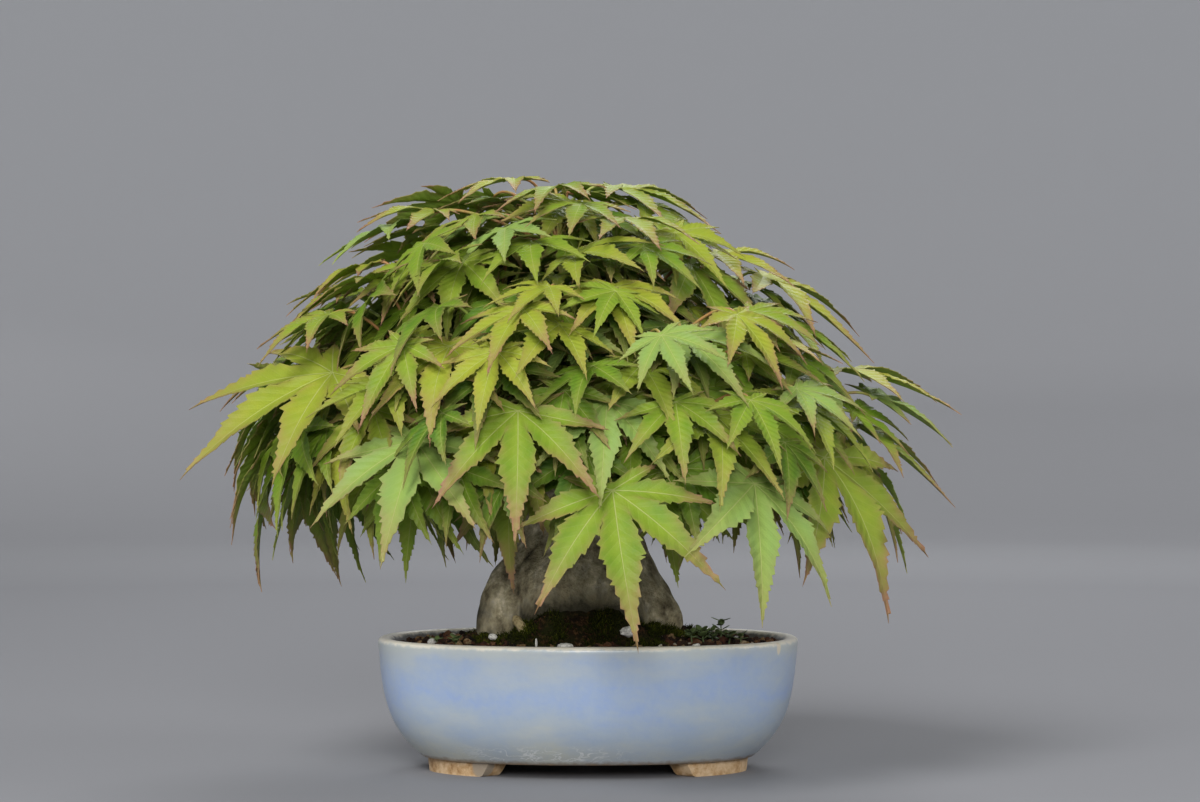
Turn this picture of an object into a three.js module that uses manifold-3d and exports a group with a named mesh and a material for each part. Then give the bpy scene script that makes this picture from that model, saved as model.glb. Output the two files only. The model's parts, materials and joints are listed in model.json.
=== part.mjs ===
// A small Japanese maple bonsai in an oval glazed pot.
// Millimetres, +Z up, the front of the tree faces -Y, and the feet of the pot stand on Z = 0 once the group is placed.
import * as THREE from 'three';
import { mergeVertices } from 'three/addons/utils/BufferGeometryUtils.js';
import Module from 'manifold-3d';

const wasm = await Module();
wasm.setup();
const { Manifold, Mesh } = wasm;

// Driving dimensions

// Heights were measured from a level just above the table, so the table is a little below zero here.
const TABLE = -2.1;

// The pot: an oval bowl on four feet, thrown or pressed from one clay.
const POT = {
  halfLength: 60, halfDepth: 42, height: 35.4, base: 1.7, // outside of the rim, its height, and where the wall starts
  wall: 4.2, floor: 4, roundness: 2.25, // roundness 2 is an ellipse, more is squarer
  slope: 3, curveIn: 10, curvePower: 4, // how far the wall leans in by the base, and how far it curves in there
  lipRound: 1, sides: 32, holeRadius: 4.5, holeSpacing: 44,
};
const OUTSIDE_STATIONS = [1.7, 2.6, 4.2, 7, 12.5, 23, 34.2]; // heights of the rings outside the wall
const FOOT = { inner: 0.8, from: 8, to: 57, taper: 0.82, steps: 6, sink: 2 };
const DRAIN_MESH = { side: 14, thickness: 0.8, bar: 1.6, cells: 2 };
const GAP = 0.3; // left between pieces that rest on each other
const SLIVER = 0.06; // slivers thinner than this are closed up in the fused pieces
const FINEST = 0.005; // no edge or facet of a fused piece is finer than this

// The soil: level with the rim at the wall, and mounded up to the trunk.
const SOIL = { edgeHeight: 32.4, mound: 6.6, lump: 0.9, rings: 5, topMargin: 1.2, clear: 0.4 };

// The trunk, from its buried foot up: height, centre x and y, half width, half depth, root flare.
const TRUNK = [
  { z: 22, x: -1.9, y: 0.0, rx: 27.0, ry: 22.4, flare: 0.10 },
  { z: 36, x: -2.2, y: 0.0, rx: 27.5, ry: 23.0, flare: 0.10 },
  { z: 44, x: -2.5, y: 0.0, rx: 26.7, ry: 22.4, flare: 0.09 },
  { z: 48, x: -2.9, y: 0.1, rx: 25.5, ry: 21.4, flare: 0.08 },
  { z: 52, x: -3.4, y: 0.2, rx: 23.9, ry: 20.0, flare: 0.06 },
  { z: 56, x: -3.2, y: 0.4, rx: 22.0, ry: 18.6, flare: 0.05 },
  { z: 60, x: -2.3, y: 0.6, rx: 19.4, ry: 17.2, flare: 0.04 },
  { z: 64, x: -1.5, y: 0.8, rx: 17.1, ry: 15.8, flare: 0.04 },
  { z: 70, x: -1.4, y: 1.0, rx: 16.0, ry: 14.8, flare: 0.03 },
  { z: 78, x: -0.6, y: 1.2, rx: 13.8, ry: 13.0, flare: 0.03 },
  { z: 88, x: 0.8, y: 1.2, rx: 11.4, ry: 11.0, flare: 0.03 },
  { z: 100, x: 0.8, y: 1.0, rx: 9.2, ry: 9.0, flare: 0.02 },
  { z: 114, x: -2.0, y: 0.6, rx: 7.0, ry: 6.8, flare: 0.02 },
  { z: 130, x: -6.0, y: 0.2, rx: 4.6, ry: 4.4, flare: 0 },
];
const TRUNK_SIDES = 14;
const ROOTS = { count: 7, turn: 0.8, lean: 0.5, leanTurn: -1.1 }; // ridges of the root flare, and its lopsidedness

// The crown. Leaf junctions lie on a dome: half widths to the left, right, front and back, and the lean of its top.
const DOME = { left: 89, right: 77, front: 76, back: 78, base: 85, rise: 79, roundness: 1.5, lean: -12 };
// Layers of places offered round the dome, as count and depth. Those that hang clear of the rest are kept.
const LAYERS = [{ count: 230, depth: 1 }, { count: 90, depth: 0.82 }];
const CLOSEST_LEAVES = 10.5;
const HIGHEST_TIP = 165.5;
// How the leaves lap: lean out of the dome, roll and spread of heading in degrees, and sizes of the middle lobe.
const LAP = {
  lean: 15, crownLean: 0.2, leanGain: 6, leanSpread: 6, roll: 10, rollSpread: 6, heading: 22,
  reach: 1.04, crowding: 0.85, heightSpread: 0.02, depthSpread: 0.03,
  crownSize: 25, rimSize: 36, sizeSpread: 0.12,
};
// How each further attempt moves a leaf: step along the dome's normal, share it shrinks, sway in degrees.
const ATTEMPT = { most: 25, step: 1, shrink: 0.008, sway: 4, swayGain: 1.5 };
const GOLDEN_ANGLE = Math.PI * (3 - Math.sqrt(5));
const CAMERA = { distance: 900, height: 102.6, x: 3.4 }; // the eye that the photographed leaves are seen from
const FACING_BIAS = [0, -0.25, 0.15]; // the photographed leaves turn a little to the front and up

// One leaf blade, as shares of its middle lobe's length.
const BLADE = {
  thickness: 1.2, ribThickness: 0.8, droop: 0.22, fold: 0.05,
  sinus: 0.21, heel: 0.05, bulgeAt: 0.46, ribAt: 0.55,
};
const LOBES = [
  { angle: -118, length: 0.34 },
  { angle: -76, length: 0.62 },
  { angle: -39, length: 0.88, width: 0.12 },
  { angle: 0, length: 1.0, width: 0.14, ribbed: true },
  { angle: 39, length: 0.88, width: 0.12 },
  { angle: 76, length: 0.62 },
  { angle: 118, length: 0.34 },
];
const STALK = { rootRadius: 0.9, tipRadius: 0.7, steps: 2, rise: 2.5, lead: 9 };

// The leafy shoots: rings of growing points inside the dome, as height on it and count.
const SHOOT_RINGS = [
  { name: 'low', height: 0.12, count: 10, turn: 9, depth: 0.66 },
  { name: 'mid', height: 0.44, count: 8, turn: 25, depth: 0.66 },
  { name: 'high', height: 0.74, count: 4, turn: 40, depth: 0.62 },
];
const CROWN_HUB = [-8.5, 0, 146]; // the growing point that carries the top leaves

// The leaves that the photograph shows best: [x, z] of the leaf's junction and of its middle tip
// as seen in the plane of the trunk, and the true length of the middle lobe.
const SEEN_LEAVES = [
  { at: [7, 77], tip: [14, 33], length: 45 },
  { at: [-73, 110.6], tip: [-114, 81], length: 50 },
  { at: [26.7, 121.2], tip: [44.7, 101], length: 32 },
  { at: [-79, 116.6], tip: [-103, 100], length: 32 },
  { at: [36.5, 98.3], tip: [36.5, 72.2], length: 34 },
  { at: [47.3, 79], tip: [44.3, 37.7], length: 44 },
  { at: [-20, 99.7], tip: [-20.3, 62.8], length: 40 },
  { at: [-49.3, 91], tip: [-48, 52], length: 44 },
  { at: [-39.5, 118.2], tip: [-43.8, 90], length: 34 },
  { at: [-8.2, 124.4], tip: [-20, 109], length: 30 },
  { at: [15.4, 113], tip: [23.2, 95.5], length: 32 },
  { at: [5.4, 102.6], tip: [7.4, 69.3], length: 36 },
  { at: [-35.6, 142.4], tip: [-39.1, 118.9], length: 30 },
  { at: [7.5, 135], tip: [12, 112.7], length: 30 },
  { at: [29.1, 141.6], tip: [40, 114], length: 34 },
  { at: [-63, 121.3], tip: [-72.3, 81], length: 44 },
  { at: [-90, 110.6], tip: [-117, 79.4], length: 42 },
  { at: [-90, 79.6], tip: [-91.4, 49.7], length: 34 },
  { at: [-50.6, 141.2], tip: [-61, 123.5], length: 27 },
  { at: [60.4, 102], tip: [68, 84], length: 32 },
  { at: [67.7, 86.3], tip: [86.4, 40.3], length: 50 },
  { at: [75.1, 96.3], tip: [102.8, 73], length: 38 },
  { at: [70.5, 111.5], tip: [104.5, 99], length: 38 },
  { at: [15.7, 159], tip: [30, 144.5], length: 26 },
  { at: [-5.2, 159.3], tip: [-13.7, 144.3], length: 27 },
  { at: [-20.9, 165.7], tip: [-35.9, 157.9], length: 26 },
  { at: [7.7, 163.6], tip: [37.7, 150], length: 34 },
  { at: [-54.6, 152.5], tip: [-71, 141], length: 28 },
  { at: [-43.7, 156.5], tip: [-63.7, 147.2], length: 27 },
  { at: [50, 138], tip: [80, 113.7], length: 40 },
  { at: [36.3, 144.3], tip: [52, 128], length: 30 },
  { at: [48.3, 120.6], tip: [64.5, 113.5], length: 28 },
  { at: [-3.2, 144.6], tip: [15.4, 138.6], length: 28 },
  { at: [-10.9, 134.9], tip: [-20.6, 122.9], length: 24 },
  { at: [-66, 136], tip: [-84, 122], length: 28 },
];

// Repeatable draws and small vector helpers

// A number from 0 to 1 that depends only on the leaf and on what it is for.
function draw(leaf, use) {
  let h = Math.imul(leaf + 1, 0x9e3779b1) ^ Math.imul(use + 1, 0x85ebca6b);
  h ^= h >>> 15;
  h = Math.imul(h, 0x2c1b3c6d);
  h ^= h >>> 12;
  h = Math.imul(h, 0x297a2d39);
  h ^= h >>> 15;
  return (h >>> 0) / 4294967296;
}

const spread = (leaf, use, reach) => (2 * draw(leaf, use) - 1) * reach;
const radians = THREE.MathUtils.degToRad;
const vec = (x, y, z) => new THREE.Vector3(x, y, z);

// Solids

function geometryOf(points, faces) {
  const geometry = new THREE.BufferGeometry();
  geometry.setAttribute('position', new THREE.Float32BufferAttribute(points.flatMap((p) => [p.x, p.y, p.z]), 3));
  geometry.setIndex(faces.flat());
  return geometry;
}

function solidOf(geometry) {
  const bare = geometry.clone();
  bare.deleteAttribute('normal');
  bare.deleteAttribute('uv');
  const merged = mergeVertices(bare, 1e-4);
  return new Manifold(new Mesh({
    numProp: 3,
    vertProperties: merged.attributes.position.array,
    triVerts: new Uint32Array(merged.index.array),
  }));
}

// A fused solid without the slivers that the joining leaves.
function tidied(solid) {
  const tries = [1, 1.5, 2].map((share) => solid.asOriginal().simplify(share * SLIVER));
  return tries.find(isSound) ?? tries[0];
}

// Whether a solid is one body with no corners and no facets too fine to survive being written out.
function isSound(solid) {
  if (solid.decompose().length !== 1) return false;
  const { vertProperties: data, triVerts } = solid.getMesh();
  const apart = [0, 0.5].every((shift) => {
    const cells = new Set();
    for (let i = 0; i < data.length; i += 3) {
      cells.add([0, 1, 2].map((k) => Math.floor(data[i + k] / FINEST + shift)).join());
    }
    return cells.size === data.length / 3;
  });
  if (!apart) return false;
  const corner = (i) => new THREE.Vector3().fromArray(data, 3 * triVerts[i]);
  for (let i = 0; i < triVerts.length; i += 3) {
    const facet = new THREE.Triangle(corner(i), corner(i + 1), corner(i + 2));
    const longest = Math.max(facet.a.distanceTo(facet.b), facet.b.distanceTo(facet.c), facet.c.distanceTo(facet.a));
    if (2 * facet.getArea() < FINEST * longest) return false;
  }
  return !touchesItself(data, triVerts);
}

// Whether a corner lies on an edge that it isn't an end of.
function touchesItself(data, triVerts) {
  const corner = (v) => new THREE.Vector3().fromArray(data, 3 * v);
  const corners = Array.from({ length: data.length / 3 }, (_, v) => corner(v));
  const nearest = new THREE.Vector3();
  for (let i = 0; i < triVerts.length; i++) {
    const [from, to] = [triVerts[i], triVerts[i % 3 === 2 ? i - 2 : i + 1]];
    if (from > to) continue;
    const edge = new THREE.Line3(corners[from], corners[to]);
    for (let v = 0; v < corners.length; v++) {
      if (v === from || v === to) continue;
      edge.closestPointToPoint(corners[v], true, nearest);
      if (nearest.distanceTo(corners[v]) < FINEST) return true;
    }
  }
  return false;
}

function meshOf(name, solid, material) {
  const data = solid.getMesh();
  const geometry = new THREE.BufferGeometry();
  geometry.setAttribute('position', new THREE.BufferAttribute(new Float32Array(data.vertProperties), 3));
  geometry.setIndex(new THREE.BufferAttribute(new Uint32Array(data.triVerts), 1));
  geometry.computeVertexNormals();
  const mesh = new THREE.Mesh(geometry, material);
  mesh.name = name;
  return mesh;
}

// Rings of points, lowest first and each counter-clockwise from above, skinned and capped at both ends.
function loft(rings) {
  const sides = rings[0].length;
  const points = rings.flat();
  const faces = [];
  for (let r = 0; r + 1 < rings.length; r++) {
    for (let i = 0; i < sides; i++) {
      const j = (i + 1) % sides;
      const [a, b] = [r * sides + i, r * sides + j];
      faces.push([a, b, b + sides], [a, b + sides, a + sides]);
    }
  }
  const last = (rings.length - 1) * sides;
  if (sides <= 6) {
    for (let i = 1; i + 1 < sides; i++) faces.push([0, i + 1, i], [last, last + i, last + i + 1]);
    return solidOf(geometryOf(points, faces));
  }
  const mean = (ring) => ring.reduce((sum, p) => sum.add(p), vec(0, 0, 0)).divideScalar(sides);
  const bottom = points.push(mean(rings[0])) - 1;
  const top = points.push(mean(rings.at(-1))) - 1;
  for (let i = 0; i < sides; i++) {
    const j = (i + 1) % sides;
    faces.push([bottom, j, i], [top, last + i, last + j]);
  }
  return solidOf(geometryOf(points, faces));
}

// A round limb along a curve, thinning from one radius to the other.
function limb(curve, fromRadius, toRadius, sides, steps) {
  const frames = curve.computeFrenetFrames(steps, false);
  const rings = [];
  for (let k = 0; k <= steps; k++) {
    const centre = curve.getPointAt(k / steps);
    const radius = THREE.MathUtils.lerp(fromRadius, toRadius, k / steps);
    rings.push(Array.from({ length: sides }, (_, i) => {
      const turn = (2 * Math.PI * i) / sides;
      return centre.clone()
        .addScaledVector(frames.normals[k], radius * Math.cos(turn))
        .addScaledVector(frames.binormals[k], radius * Math.sin(turn));
    }));
  }
  return loft(rings);
}

// The pot

// A point of the pot's oval plan, for a turn in radians and the half length and half depth there.
function ovalPoint(turn, halfLength, halfDepth, z) {
  const power = 2 / POT.roundness;
  const [c, s] = [Math.cos(turn), Math.sin(turn)];
  return vec(
    halfLength * Math.sign(c) * Math.abs(c) ** power,
    halfDepth * Math.sign(s) * Math.abs(s) ** power,
    z,
  );
}

function ovalRing(halfLength, halfDepth, z, sides = POT.sides) {
  return Array.from({ length: sides }, (_, i) => ovalPoint((2 * Math.PI * i) / sides, halfLength, halfDepth, z));
}

// The wall's outside as an inset from the rim at a height: upright at the rim and rounded in to the base.
function wallInset(z) {
  const down = (POT.height - z) / (POT.height - POT.base);
  return POT.curveIn * down ** POT.curvePower + POT.slope * down;
}

// The inside of the bowl as heights and insets, rim first. The soil follows the same stations.
const FLOOR_TOP = POT.base + POT.floor;
const INSIDE = [POT.height - 1.4, 22, FLOOR_TOP + 5, FLOOR_TOP]
  .map((z) => ({ z, inset: wallInset(z) + POT.wall }));

function makePot() {
  const ringAt = (z, inset) => ovalRing(POT.halfLength - inset, POT.halfDepth - inset, z);
  const rings = OUTSIDE_STATIONS.map((z) => ringAt(z, wallInset(z)));
  rings.push(ringAt(POT.height, POT.lipRound), ringAt(POT.height, POT.wall - POT.lipRound));
  for (const { z, inset } of INSIDE) rings.push(ringAt(z, inset));
  let pot = loft(rings);
  for (const side of [0, 1, 2, 3]) pot = pot.add(makeFoot(side));
  for (const sign of [-1, 1]) {
    const drill = new THREE.CylinderGeometry(POT.holeRadius, POT.holeRadius, 3 * POT.floor, 16);
    drill.rotateX(Math.PI / 2).translate((sign * POT.holeSpacing) / 2, 0, POT.base + POT.floor / 2);
    pot = pot.subtract(solidOf(drill));
  }
  return tidied(pot);
}

// One of the four feet: a block bent along the oval, narrower at the table than under the bowl.
function makeFoot(quarter) {
  const inset = wallInset(POT.base) + 1;
  const [length, depth] = [POT.halfLength - inset, POT.halfDepth - inset];
  const mirror = [[1, 1], [-1, 1], [-1, -1], [1, -1]][quarter];
  const outline = (z, share) => {
    const middle = (FOOT.from + FOOT.to) / 2;
    const half = ((FOOT.to - FOOT.from) / 2) * share;
    const inner = 1 - (1 - FOOT.inner) * share;
    const turns = Array.from({ length: FOOT.steps + 1 }, (_, i) => middle - half + (2 * half * i) / FOOT.steps);
    const outerEdge = turns.map((t) => ovalPoint(radians(t), length, depth, z));
    const innerEdge = turns.reverse().map((t) => ovalPoint(radians(t), length * inner, depth * inner, z));
    const ring = [...outerEdge, ...innerEdge].map((p) => vec(p.x * mirror[0], p.y * mirror[1], z));
    return mirror[0] * mirror[1] > 0 ? ring : ring.reverse();
  };
  return loft([outline(TABLE, FOOT.taper), outline(POT.base + FOOT.sink, 1)]);
}

// A square of plastic netting over a drain hole.
function makeDrainMesh(sign) {
  const { side, thickness, bar, cells } = DRAIN_MESH;
  const z = FLOOR_TOP + GAP + thickness / 2;
  const x = (sign * POT.holeSpacing) / 2;
  const pitch = (side - bar) / cells;
  let net = solidOf(new THREE.BoxGeometry(side, side, thickness).translate(x, 0, z));
  for (let i = 0; i < cells; i++) {
    for (let j = 0; j < cells; j++) {
      const hole = new THREE.BoxGeometry(pitch - bar, pitch - bar, 3 * thickness);
      hole.translate(x + (i - (cells - 1) / 2) * pitch, (j - (cells - 1) / 2) * pitch, z);
      net = net.subtract(solidOf(hole));
    }
  }
  return net;
}

// The trunk and its branches

// A ring of the trunk with the ridges that run down into the roots.
function trunkRing(station, grow = 0) {
  return Array.from({ length: TRUNK_SIDES }, (_, i) => {
    const turn = (2 * Math.PI * i) / TRUNK_SIDES;
    const ridges = Math.cos(ROOTS.count * turn + ROOTS.turn) + ROOTS.lean * Math.cos(2 * turn + ROOTS.leanTurn);
    const ridge = 1 + station.flare * ridges;
    return vec(
      station.x + (station.rx * ridge + grow) * Math.cos(turn),
      station.y + (station.ry * ridge + grow) * Math.sin(turn),
      station.z,
    );
  });
}

// The trunk's middle at a height.
function trunkMiddle(z) {
  const above = TRUNK.findIndex((s) => s.z >= z);
  const [low, high] = [TRUNK[above - 1], TRUNK[above]];
  const t = (z - low.z) / (high.z - low.z);
  return vec(THREE.MathUtils.lerp(low.x, high.x, t), THREE.MathUtils.lerp(low.y, high.y, t), z);
}

// A point on the dome: height from 0 at its base to 1 at the crown, turn in radians, and depth below the leaves.
function domePoint(height, turn, depth = 1) {
  const across = Math.max(0, 1 - Math.max(height, 0) ** DOME.roundness) ** (1 / DOME.roundness);
  const [c, s] = [Math.cos(turn), Math.sin(turn)];
  const halfWidth = c > 0 ? DOME.right : DOME.left;
  const halfDepth = s > 0 ? DOME.back : DOME.front;
  return vec(
    (halfWidth * across * c + DOME.lean * height) * depth,
    halfDepth * across * s * depth,
    DOME.base + DOME.rise * height * depth,
  );
}

// How far a point lies from the dome's leaning axis, as shares of the half widths there.
function offAxis(p) {
  const x = p.x - (DOME.lean * (p.z - DOME.base)) / DOME.rise;
  return vec(x / (x > 0 ? DOME.right : DOME.left), p.y / (p.y > 0 ? DOME.back : DOME.front), 0);
}

// The way the dome faces there.
function domeNormal(height, turn) {
  const [c, s] = [Math.cos(turn), Math.sin(turn)];
  const flat = vec(c / (c > 0 ? DOME.right : DOME.left), s / (s > 0 ? DOME.back : DOME.front), 0);
  const across = Math.max(0.02, 1 - Math.max(height, 0) ** DOME.roundness) ** (1 / DOME.roundness);
  flat.normalize().multiplyScalar(across ** (DOME.roundness - 1) / DOME.left);
  const up = (Math.max(height, 0) ** (DOME.roundness - 1) - flat.x * DOME.lean) / DOME.rise;
  return flat.setZ(up).normalize();
}

// The same, for a point near the dome.
function skinNormal(p) {
  const side = offAxis(p);
  return domeNormal(Math.min((p.z - DOME.base) / DOME.rise, 1), Math.atan2(side.y, side.x));
}

// The growing points that the leaves spring from, with the wood that feeds each.
function makeShoots() {
  const shoots = [];
  for (const ring of SHOOT_RINGS) {
    for (let i = 0; i < ring.count; i++) {
      const turn = radians(ring.turn + (360 * i) / ring.count);
      shoots.push({
        name: `spray_${ring.name}_${String(i + 1).padStart(2, '0')}`,
        hub: domePoint(ring.height, turn, ring.depth),
        pair: Math.floor(i / 2),
        ring: ring.name,
      });
    }
  }
  shoots.push({ name: 'spray_crown', hub: vec(...CROWN_HUB), pair: 0, ring: 'crown' });
  return shoots;
}

const WOOD = { low: [66, 5.6], mid: [88, 4.6], high: [108, 3.6] }; // where a ring's branches leave the trunk, radius
const BOUGH = { pairRise: 3.5, fork: 0.62, forkRise: 0.8, arch: 2.5, taper: 0.5 };
const TWIG = { thickness: 0.46, tip: 1.5, lead: 0.45, root: 0.06, rootStep: 0.07 };
const SHOOT = { out: 7.2, up: 5.4, radius: 1.5, tip: 1.3, bud: 3.2 };

function makeWood(shoots) {
  const rings = TRUNK.map((station) => trunkRing(station));
  const pieces = [loft(rings)];
  for (const shoot of shoots) {
    const out = vec(shoot.hub.x, shoot.hub.y, 0);
    out.normalize();
    shoot.foot = shoot.hub.clone().addScaledVector(out, -SHOOT.out);
    shoot.foot.z -= SHOOT.up;
    if (shoot.ring === 'crown') shoot.foot.copy(trunkMiddle(TRUNK.at(-1).z));
  }
  for (const ring of ['low', 'mid', 'high']) {
    const [height, radius] = WOOD[ring];
    const pairs = new Set(shoots.filter((s) => s.ring === ring).map((s) => s.pair));
    for (const pair of pairs) {
      const fed = shoots.filter((s) => s.ring === ring && s.pair === pair);
      const mean = fed.reduce((sum, s) => sum.add(s.foot), vec(0, 0, 0)).divideScalar(fed.length);
      const start = trunkMiddle(height + BOUGH.pairRise * pair);
      const fork = start.clone().lerp(mean, BOUGH.fork);
      fork.z = THREE.MathUtils.lerp(start.z, mean.z, BOUGH.forkRise);
      const middle = start.clone().lerp(fork, 0.5).add(vec(0, 0, BOUGH.arch));
      const bough = new THREE.QuadraticBezierCurve3(start, middle, fork);
      pieces.push(limb(bough, radius, radius * BOUGH.taper, 6, 2));
      fed.forEach((shoot, i) => {
        const end = shoot.foot.clone();
        const onward = shoot.hub.clone().sub(end).normalize();
        const bend = end.clone().addScaledVector(onward, -TWIG.lead * fork.distanceTo(end));
        const root = fork.clone().lerp(start, TWIG.root + TWIG.rootStep * i);
        const twig = new THREE.QuadraticBezierCurve3(root, bend, end);
        pieces.push(limb(twig, radius * TWIG.thickness, TWIG.tip, 4, 2));
      });
    }
  }
  return tidied(Manifold.union(pieces));
}

// The soil

// Height of the soil: level at the wall, mounded at the trunk, and crumbly all over.
function soilHeight(x, y) {
  const out = Math.hypot(x / POT.halfLength, y / POT.halfDepth);
  const mound = SOIL.mound * Math.max(0, 1 - out) ** 1.1;
  const crumbs = Math.sin(0.83 * x + 1.7) * Math.cos(0.91 * y) + Math.sin(0.47 * x - 0.61 * y);
  return SOIL.edgeHeight + mound + (SOIL.lump * crumbs) / 2;
}

function makeSoil(nets) {
  const ringAt = (z, inset) => ovalRing(POT.halfLength - inset - SOIL.clear, POT.halfDepth - inset - SOIL.clear, z);
  const [rim, waist] = INSIDE;
  const edge = THREE.MathUtils.mapLinear(SOIL.edgeHeight, waist.z, rim.z, waist.inset, rim.inset);
  const rings = INSIDE.slice(1).reverse().map(({ z, inset }) => ringAt(z, inset));
  rings[0] = ringAt(INSIDE.at(-1).z + GAP, INSIDE.at(-1).inset);
  rings.push(ringAt(SOIL.edgeHeight - SOIL.topMargin, edge));
  const [length, depth] = [POT.halfLength - edge - SOIL.clear, POT.halfDepth - edge - SOIL.clear];
  for (let r = SOIL.rings; r > 0; r--) {
    const share = r / SOIL.rings;
    const ring = ovalRing(length * share, depth * share, 0);
    rings.push(ring.map((p) => vec(p.x, p.y, soilHeight(p.x, p.y))));
  }
  let soil = loft(rings);
  const socket = loft([
    trunkRing({ ...TRUNK[0], z: TRUNK[0].z - GAP }, GAP),
    trunkRing({ ...TRUNK[1], z: TRUNK[1].z }, GAP),
    trunkRing({ ...TRUNK[1], z: 46 }, GAP),
  ]);
  soil = soil.subtract(socket);
  for (const net of nets) {
    const { min, max } = net.boundingBox();
    const size = [0, 1, 2].map((k) => max[k] - min[k] + 2 * GAP);
    const pocket = new THREE.BoxGeometry(...size);
    pocket.translate(...[0, 1, 2].map((k) => (min[k] + max[k]) / 2));
    soil = soil.subtract(solidOf(pocket));
  }
  return tidied(soil);
}

// Leaves

// A point of the blade in its own plane: share of the middle lobe's length, and angle from it.
// The blade droops away from its junction, and each lobe folds up a little on both sides of its rib.
function bladePoint(size, share, angle, lift = 0) {
  const out = share * size;
  return vec(out * Math.cos(angle), out * Math.sin(angle), lift - BLADE.droop * share * share * size);
}

// A leaf as one closed body: a blade of seven lobes, thick at the ribs and drawn out to its edge,
// whose heel opens into a three-sided stalk that ends inside the bud of its shoot.
function leafSolid(place, stalked = true) {
  const { size } = place;
  const frame = new THREE.Matrix4().makeBasis(place.d, place.s, place.n).setPosition(place.junction);
  const points = [];
  const upper = [];
  const under = new Map(); // the lower twin of each vertex that has one
  const add = (p) => points.push(p.applyMatrix4(frame)) - 1;
  const addPair = (p, thickness) => {
    const top = add(p.clone().add(vec(0, 0, thickness / 2)));
    under.set(top, add(p.clone().add(vec(0, 0, -thickness / 2))));
    return top;
  };
  const centre = addPair(vec(0, 0, 0), BLADE.thickness);
  const sinusAfter = (i) => {
    const angle = radians((LOBES[i].angle + LOBES[i + 1].angle) / 2);
    const reach = BLADE.sinus * (0.4 + 0.3 * (LOBES[i].length + LOBES[i + 1].length));
    return add(bladePoint(size, reach, angle, BLADE.fold * size * 0.5));
  };
  const heelBack = -BLADE.heel * size;
  const heels = [vec(heelBack, -STALK.tipRadius, 0), vec(heelBack, STALK.tipRadius, 0)].map(add);
  const heelUnder = add(vec(heelBack, 0, -1.5 * STALK.tipRadius));
  let before = heels[0];
  LOBES.forEach((lobe, i) => {
    const angle = radians(lobe.angle);
    const after = i + 1 < LOBES.length ? sinusAfter(i) : heels[1];
    const tip = add(bladePoint(size, lobe.length, angle));
    if (!lobe.width) {
      upper.push([centre, before, tip], [centre, tip, after]);
    } else {
      const along = BLADE.bulgeAt * lobe.length;
      const turn = Math.atan2(lobe.width, along);
      const edge = (sign) => add(bladePoint(size, Math.hypot(along, lobe.width), angle + sign * turn, BLADE.fold * size));
      const [left, right] = [edge(-1), edge(1)];
      if (lobe.ribbed) {
        const rib = addPair(bladePoint(size, BLADE.ribAt * lobe.length, angle), BLADE.ribThickness);
        upper.push([centre, before, left], [centre, left, rib], [rib, left, tip]);
        upper.push([rib, tip, right], [centre, rib, right], [centre, right, after]);
      } else {
        upper.push([centre, before, left], [centre, left, tip], [centre, tip, right], [centre, right, after]);
      }
    }
    before = after;
  });
  const lowerTwin = (v) => under.get(v) ?? v;
  const lower = upper.map(([a, b, c]) => [lowerTwin(a), lowerTwin(c), lowerTwin(b)]);
  const faces = [...upper, ...lower, [centre, heels[1], heels[0]]];
  faces.push([under.get(centre), heels[0], heelUnder], [under.get(centre), heelUnder, heels[1]]);
  const stalk = stalked && stalkCurve(place);
  let ring = [heels[0], heels[1], heelUnder];
  for (let k = STALK.steps - 1; stalked && k >= 0; k--) {
    const t = k / STALK.steps;
    const centre = stalk.getPoint(t);
    const tangent = stalk.getTangent(t);
    const side = place.s.clone().addScaledVector(tangent, -place.s.dot(tangent)).normalize();
    const down = new THREE.Vector3().crossVectors(side, tangent);
    const radius = THREE.MathUtils.lerp(STALK.rootRadius, STALK.tipRadius, t);
    const next = [[-1, 0.5], [1, 0.5], [0, -1]].map(([across, up]) => points.push(
      centre.clone().addScaledVector(side, across * radius).addScaledVector(down, -up * radius),
    ) - 1);
    for (let i = 0; i < 3; i++) {
      const j = (i + 1) % 3;
      faces.push([ring[i], ring[j], next[j]], [ring[i], next[j], next[i]]);
    }
    ring = next;
  }
  faces.push(ring);
  return solidOf(geometryOf(points, faces));
}

// The line of a leaf's stalk, from its shoot to the heel of the blade.
function stalkCurve(place) {
  const heel = place.junction.clone().addScaledVector(place.d, -BLADE.heel * place.size);
  const inward = vec(-place.junction.x, -place.junction.y, 0).normalize();
  const bend = heel.clone().addScaledVector(inward, 0.5 * STALK.lead).addScaledVector(place.d, -0.5 * STALK.lead);
  bend.z += STALK.rise;
  return new THREE.QuadraticBezierCurve3(place.shoot.hub.clone(), bend, heel);
}

// Where a leaf hangs: its junction, the way its middle lobe points, and the way its face looks.
function placeOf(junction, along, facing, size) {
  const d = along.clone().normalize();
  const n = facing.clone().addScaledVector(d, -facing.dot(d)).normalize();
  return { junction, d, n, s: new THREE.Vector3().crossVectors(n, d), size };
}

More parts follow.
